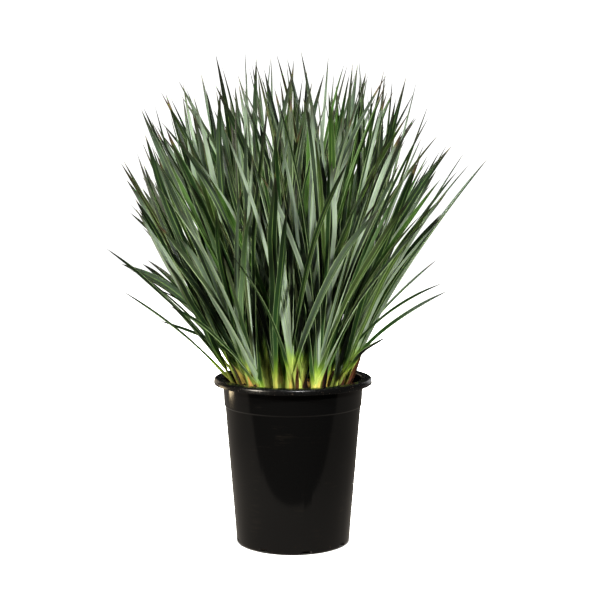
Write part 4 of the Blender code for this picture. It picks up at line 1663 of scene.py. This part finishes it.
def floor_finish(settings):
    """Matt white paper. Seen from the camera it also glows, a painted light that fades it into the white of
    the room behind it.

    To all other rays it is only a dim glow, a painted light that the pot mirrors, and it throws little light
    back, as if dark cards lay on it just out of the picture.
    """
    made, tree = new_material("matt_white_paper")
    spot = put(tree, "ShaderNodeTexCoord").outputs["Object"]
    across, back, _ = put(tree, "ShaderNodeSeparateXYZ", {0: spot}).outputs
    out = put(tree, "ShaderNodeVectorMath", {0: spot}, operation="LENGTH").outputs["Value"]
    seen = put(tree, "ShaderNodeLightPath").outputs["Is Camera Ray"]
    mottle = put(tree, "ShaderNodeTexNoise", {"Vector": spot, "Scale": 3.0})
    tone = put(tree, "ShaderNodeMapRange", {0: mottle, 3: 0.985, 4: 1.0})
    # Painted shade: the paper is made dark under the pot, as the pot's shade would make it
    damp_and_painted_shade = put(tree, "ShaderNodeMapRange", {0: out, 1: 0.0715, 2: 0.0735, 3: 0.04, 4: 1.0})
    tone = put(tree, "ShaderNodeMath", {0: tone, 1: damp_and_painted_shade}, operation="MULTIPLY")
    colour = put(
        tree, "ShaderNodeVectorMath", {0: tuple(settings.floor_colour), "Scale": tone}, operation="SCALE"
    )
    paper = put(tree, "ShaderNodeBsdfPrincipled", {"Base Color": colour, "Roughness": 0.9})
    # Painted light: seen from the camera the paper glows white, from nothing at the foot of the pot
    # outwards, and the glow washes out cast shadows
    far = put(
        tree, "ShaderNodeMapRange", {0: out, 1: 0.0725, 2: 0.125, 3: 0.0, 4: 1.1},
        interpolation_type="SMOOTHSTEP",
    )
    painted_floor_glow = put(tree, "ShaderNodeMath", {0: far, 1: seen}, operation="MULTIPLY")
    glow = put(tree, "ShaderNodeEmission", {"Strength": painted_floor_glow})
    lit = put(tree, "ShaderNodeAddShader", {0: paper, 1: glow})
    # Painted reflection: to all other rays the paper is a dim glow, a painted light that the pot mirrors. It
    # is darkest in front of the pot, out of the picture, and lighter on the left and near the pot
    painted_reflection_glow = put(tree, "ShaderNodeMapRange", {0: back, 1: -0.195, 2: -0.191, 3: 0.06, 4: 0.32})
    left = put(tree, "ShaderNodeMapRange", {0: across, 1: -0.25, 2: 0.25, 3: 1.4, 4: 0.84})
    near = put(tree, "ShaderNodeMapRange", {0: out, 1: 0.2, 2: 0.45, 3: 1.0, 4: 0.68})
    for share in (left, near):
        painted_reflection_glow = put(tree, "ShaderNodeMath", {0: painted_reflection_glow, 1: share}, operation="MULTIPLY")
    dim = put(tree, "ShaderNodeEmission", {"Color": "F2E8DC", "Strength": painted_reflection_glow})
    floor = put(tree, "ShaderNodeMixShader", {0: seen, 1: dim, 2: lit})
    put(tree, "ShaderNodeOutputMaterial", {"Surface": floor})
    return made


class LILY_OT_studio(bpy.types.Operator):
    """Set the pale floor, the soft lights and the camera"""

    bl_idname = "lily.studio"
    bl_label = "Set the studio"

    def execute(self, context):
        settings = context.scene.lily_studio
        bm = bmesh.new()
        bmesh.ops.create_circle(bm, cap_ends=True, segments=FLOOR_SIDES, radius=settings.floor_radius)
        mesh = bpy.data.meshes.new("floor")
        bm.to_mesh(mesh)
        bm.free()
        floor = add_object("floor", mesh)
        mesh.materials.append(floor_finish(settings))

        for name, place, aim, sides, power, share, colour, mirrored in LIGHTS:
            lamp = bpy.data.lights.new(name, "AREA")
            lamp.shape = "RECTANGLE"
            lamp.size, lamp.size_y = sides
            lamp.energy = getattr(settings, power) * share
            lamp.color = linear(colour)
            light = add_object(name, lamp)
            light.location = place
            towards = Vector((0.0, 0.0, aim)) - light.location
            light.rotation_euler = towards.to_track_quat("-Z", "Y").to_euler()
            light.visible_camera = False
            light.visible_glossy = mirrored
        # This one is there for its mirror image along the front of the lip
        bpy.data.objects["front_softbox"].visible_diffuse = False

        world = bpy.data.worlds.new("studio")
        world.use_nodes = True
        world.node_tree.nodes.clear()
        context.scene.world = world
        sky = world.node_tree
        seen = put(sky, "ShaderNodeBackground", {"Color": "FFFFFF", "Strength": 1.0})
        around = put(sky, "ShaderNodeBackground", {"Color": "EEF2F4", "Strength": settings.room_light})
        ray = put(sky, "ShaderNodeLightPath")
        both = put(sky, "ShaderNodeMixShader", {0: ray.outputs["Is Camera Ray"], 1: around, 2: seen})
        put(sky, "ShaderNodeOutputWorld", {"Surface": both})
        context.scene.view_settings.view_transform = "Standard"
        context.scene.view_settings.look = "Medium High Contrast"

        lens = bpy.data.cameras.new("camera")
        lens.lens = CAMERA_LENS
        lens.sensor_width = CAMERA_SENSOR
        lens.clip_end = CAMERA_REACH
        camera = add_object("camera", lens)
        camera.location = CAMERA_PLACE
        camera.rotation_euler = (math.radians(90 - CAMERA_DROP), 0.0, 0.0)
        context.scene.camera = camera
        return {"FINISHED"}


class LILY_PT_panel(bpy.types.Panel):
    """Settings and steps of the potted flax lily"""

    bl_idname = "LILY_PT_panel"
    bl_label = "Flax lily"
    bl_space_type = "VIEW_3D"
    bl_region_type = "UI"
    bl_category = "Flax lily"

    def draw(self, context):
        scene = context.scene
        steps = (
            (LILY_OT_leaves, scene.lily_leaves),
            (LILY_OT_dry_sheaths, None),
            (LILY_OT_mix, scene.lily_mix),
            (LILY_OT_pot, scene.lily_pot),
            (LILY_OT_studio, scene.lily_studio),
        )
        for step, settings in steps:
            box = self.layout.box()
            box.operator(step.bl_idname)
            if settings:
                for name in settings.__annotations__:
                    box.prop(settings, name)


SETTINGS = {
    "lily_leaves": LilyLeafSettings,
    "lily_mix": LilyMixSettings,
    "lily_pot": LilyPotSettings,
    "lily_studio": LilyStudioSettings,
}
OPERATORS = (LILY_OT_leaves, LILY_OT_dry_sheaths, LILY_OT_mix, LILY_OT_pot, LILY_OT_studio)


def register():
    for name, settings in SETTINGS.items():
        bpy.utils.register_class(settings)
        setattr(bpy.types.Scene, name, PointerProperty(type=settings))
    for operator in OPERATORS:
        bpy.utils.register_class(operator)
    bpy.utils.register_class(LILY_PT_panel)


def unregister():
    bpy.utils.unregister_class(LILY_PT_panel)
    for operator in reversed(OPERATORS):
        bpy.utils.unregister_class(operator)
    for name, settings in SETTINGS.items():
        delattr(bpy.types.Scene, name)
        bpy.utils.unregister_class(settings)


def main():
    register()
    bpy.ops.lily.leaves()
    bpy.ops.lily.dry_sheaths()
    bpy.ops.lily.mix()
    bpy.ops.lily.pot()
    bpy.ops.lily.studio()
    bpy.context.view_layer.update()


if __name__ == "__main__":
    main()
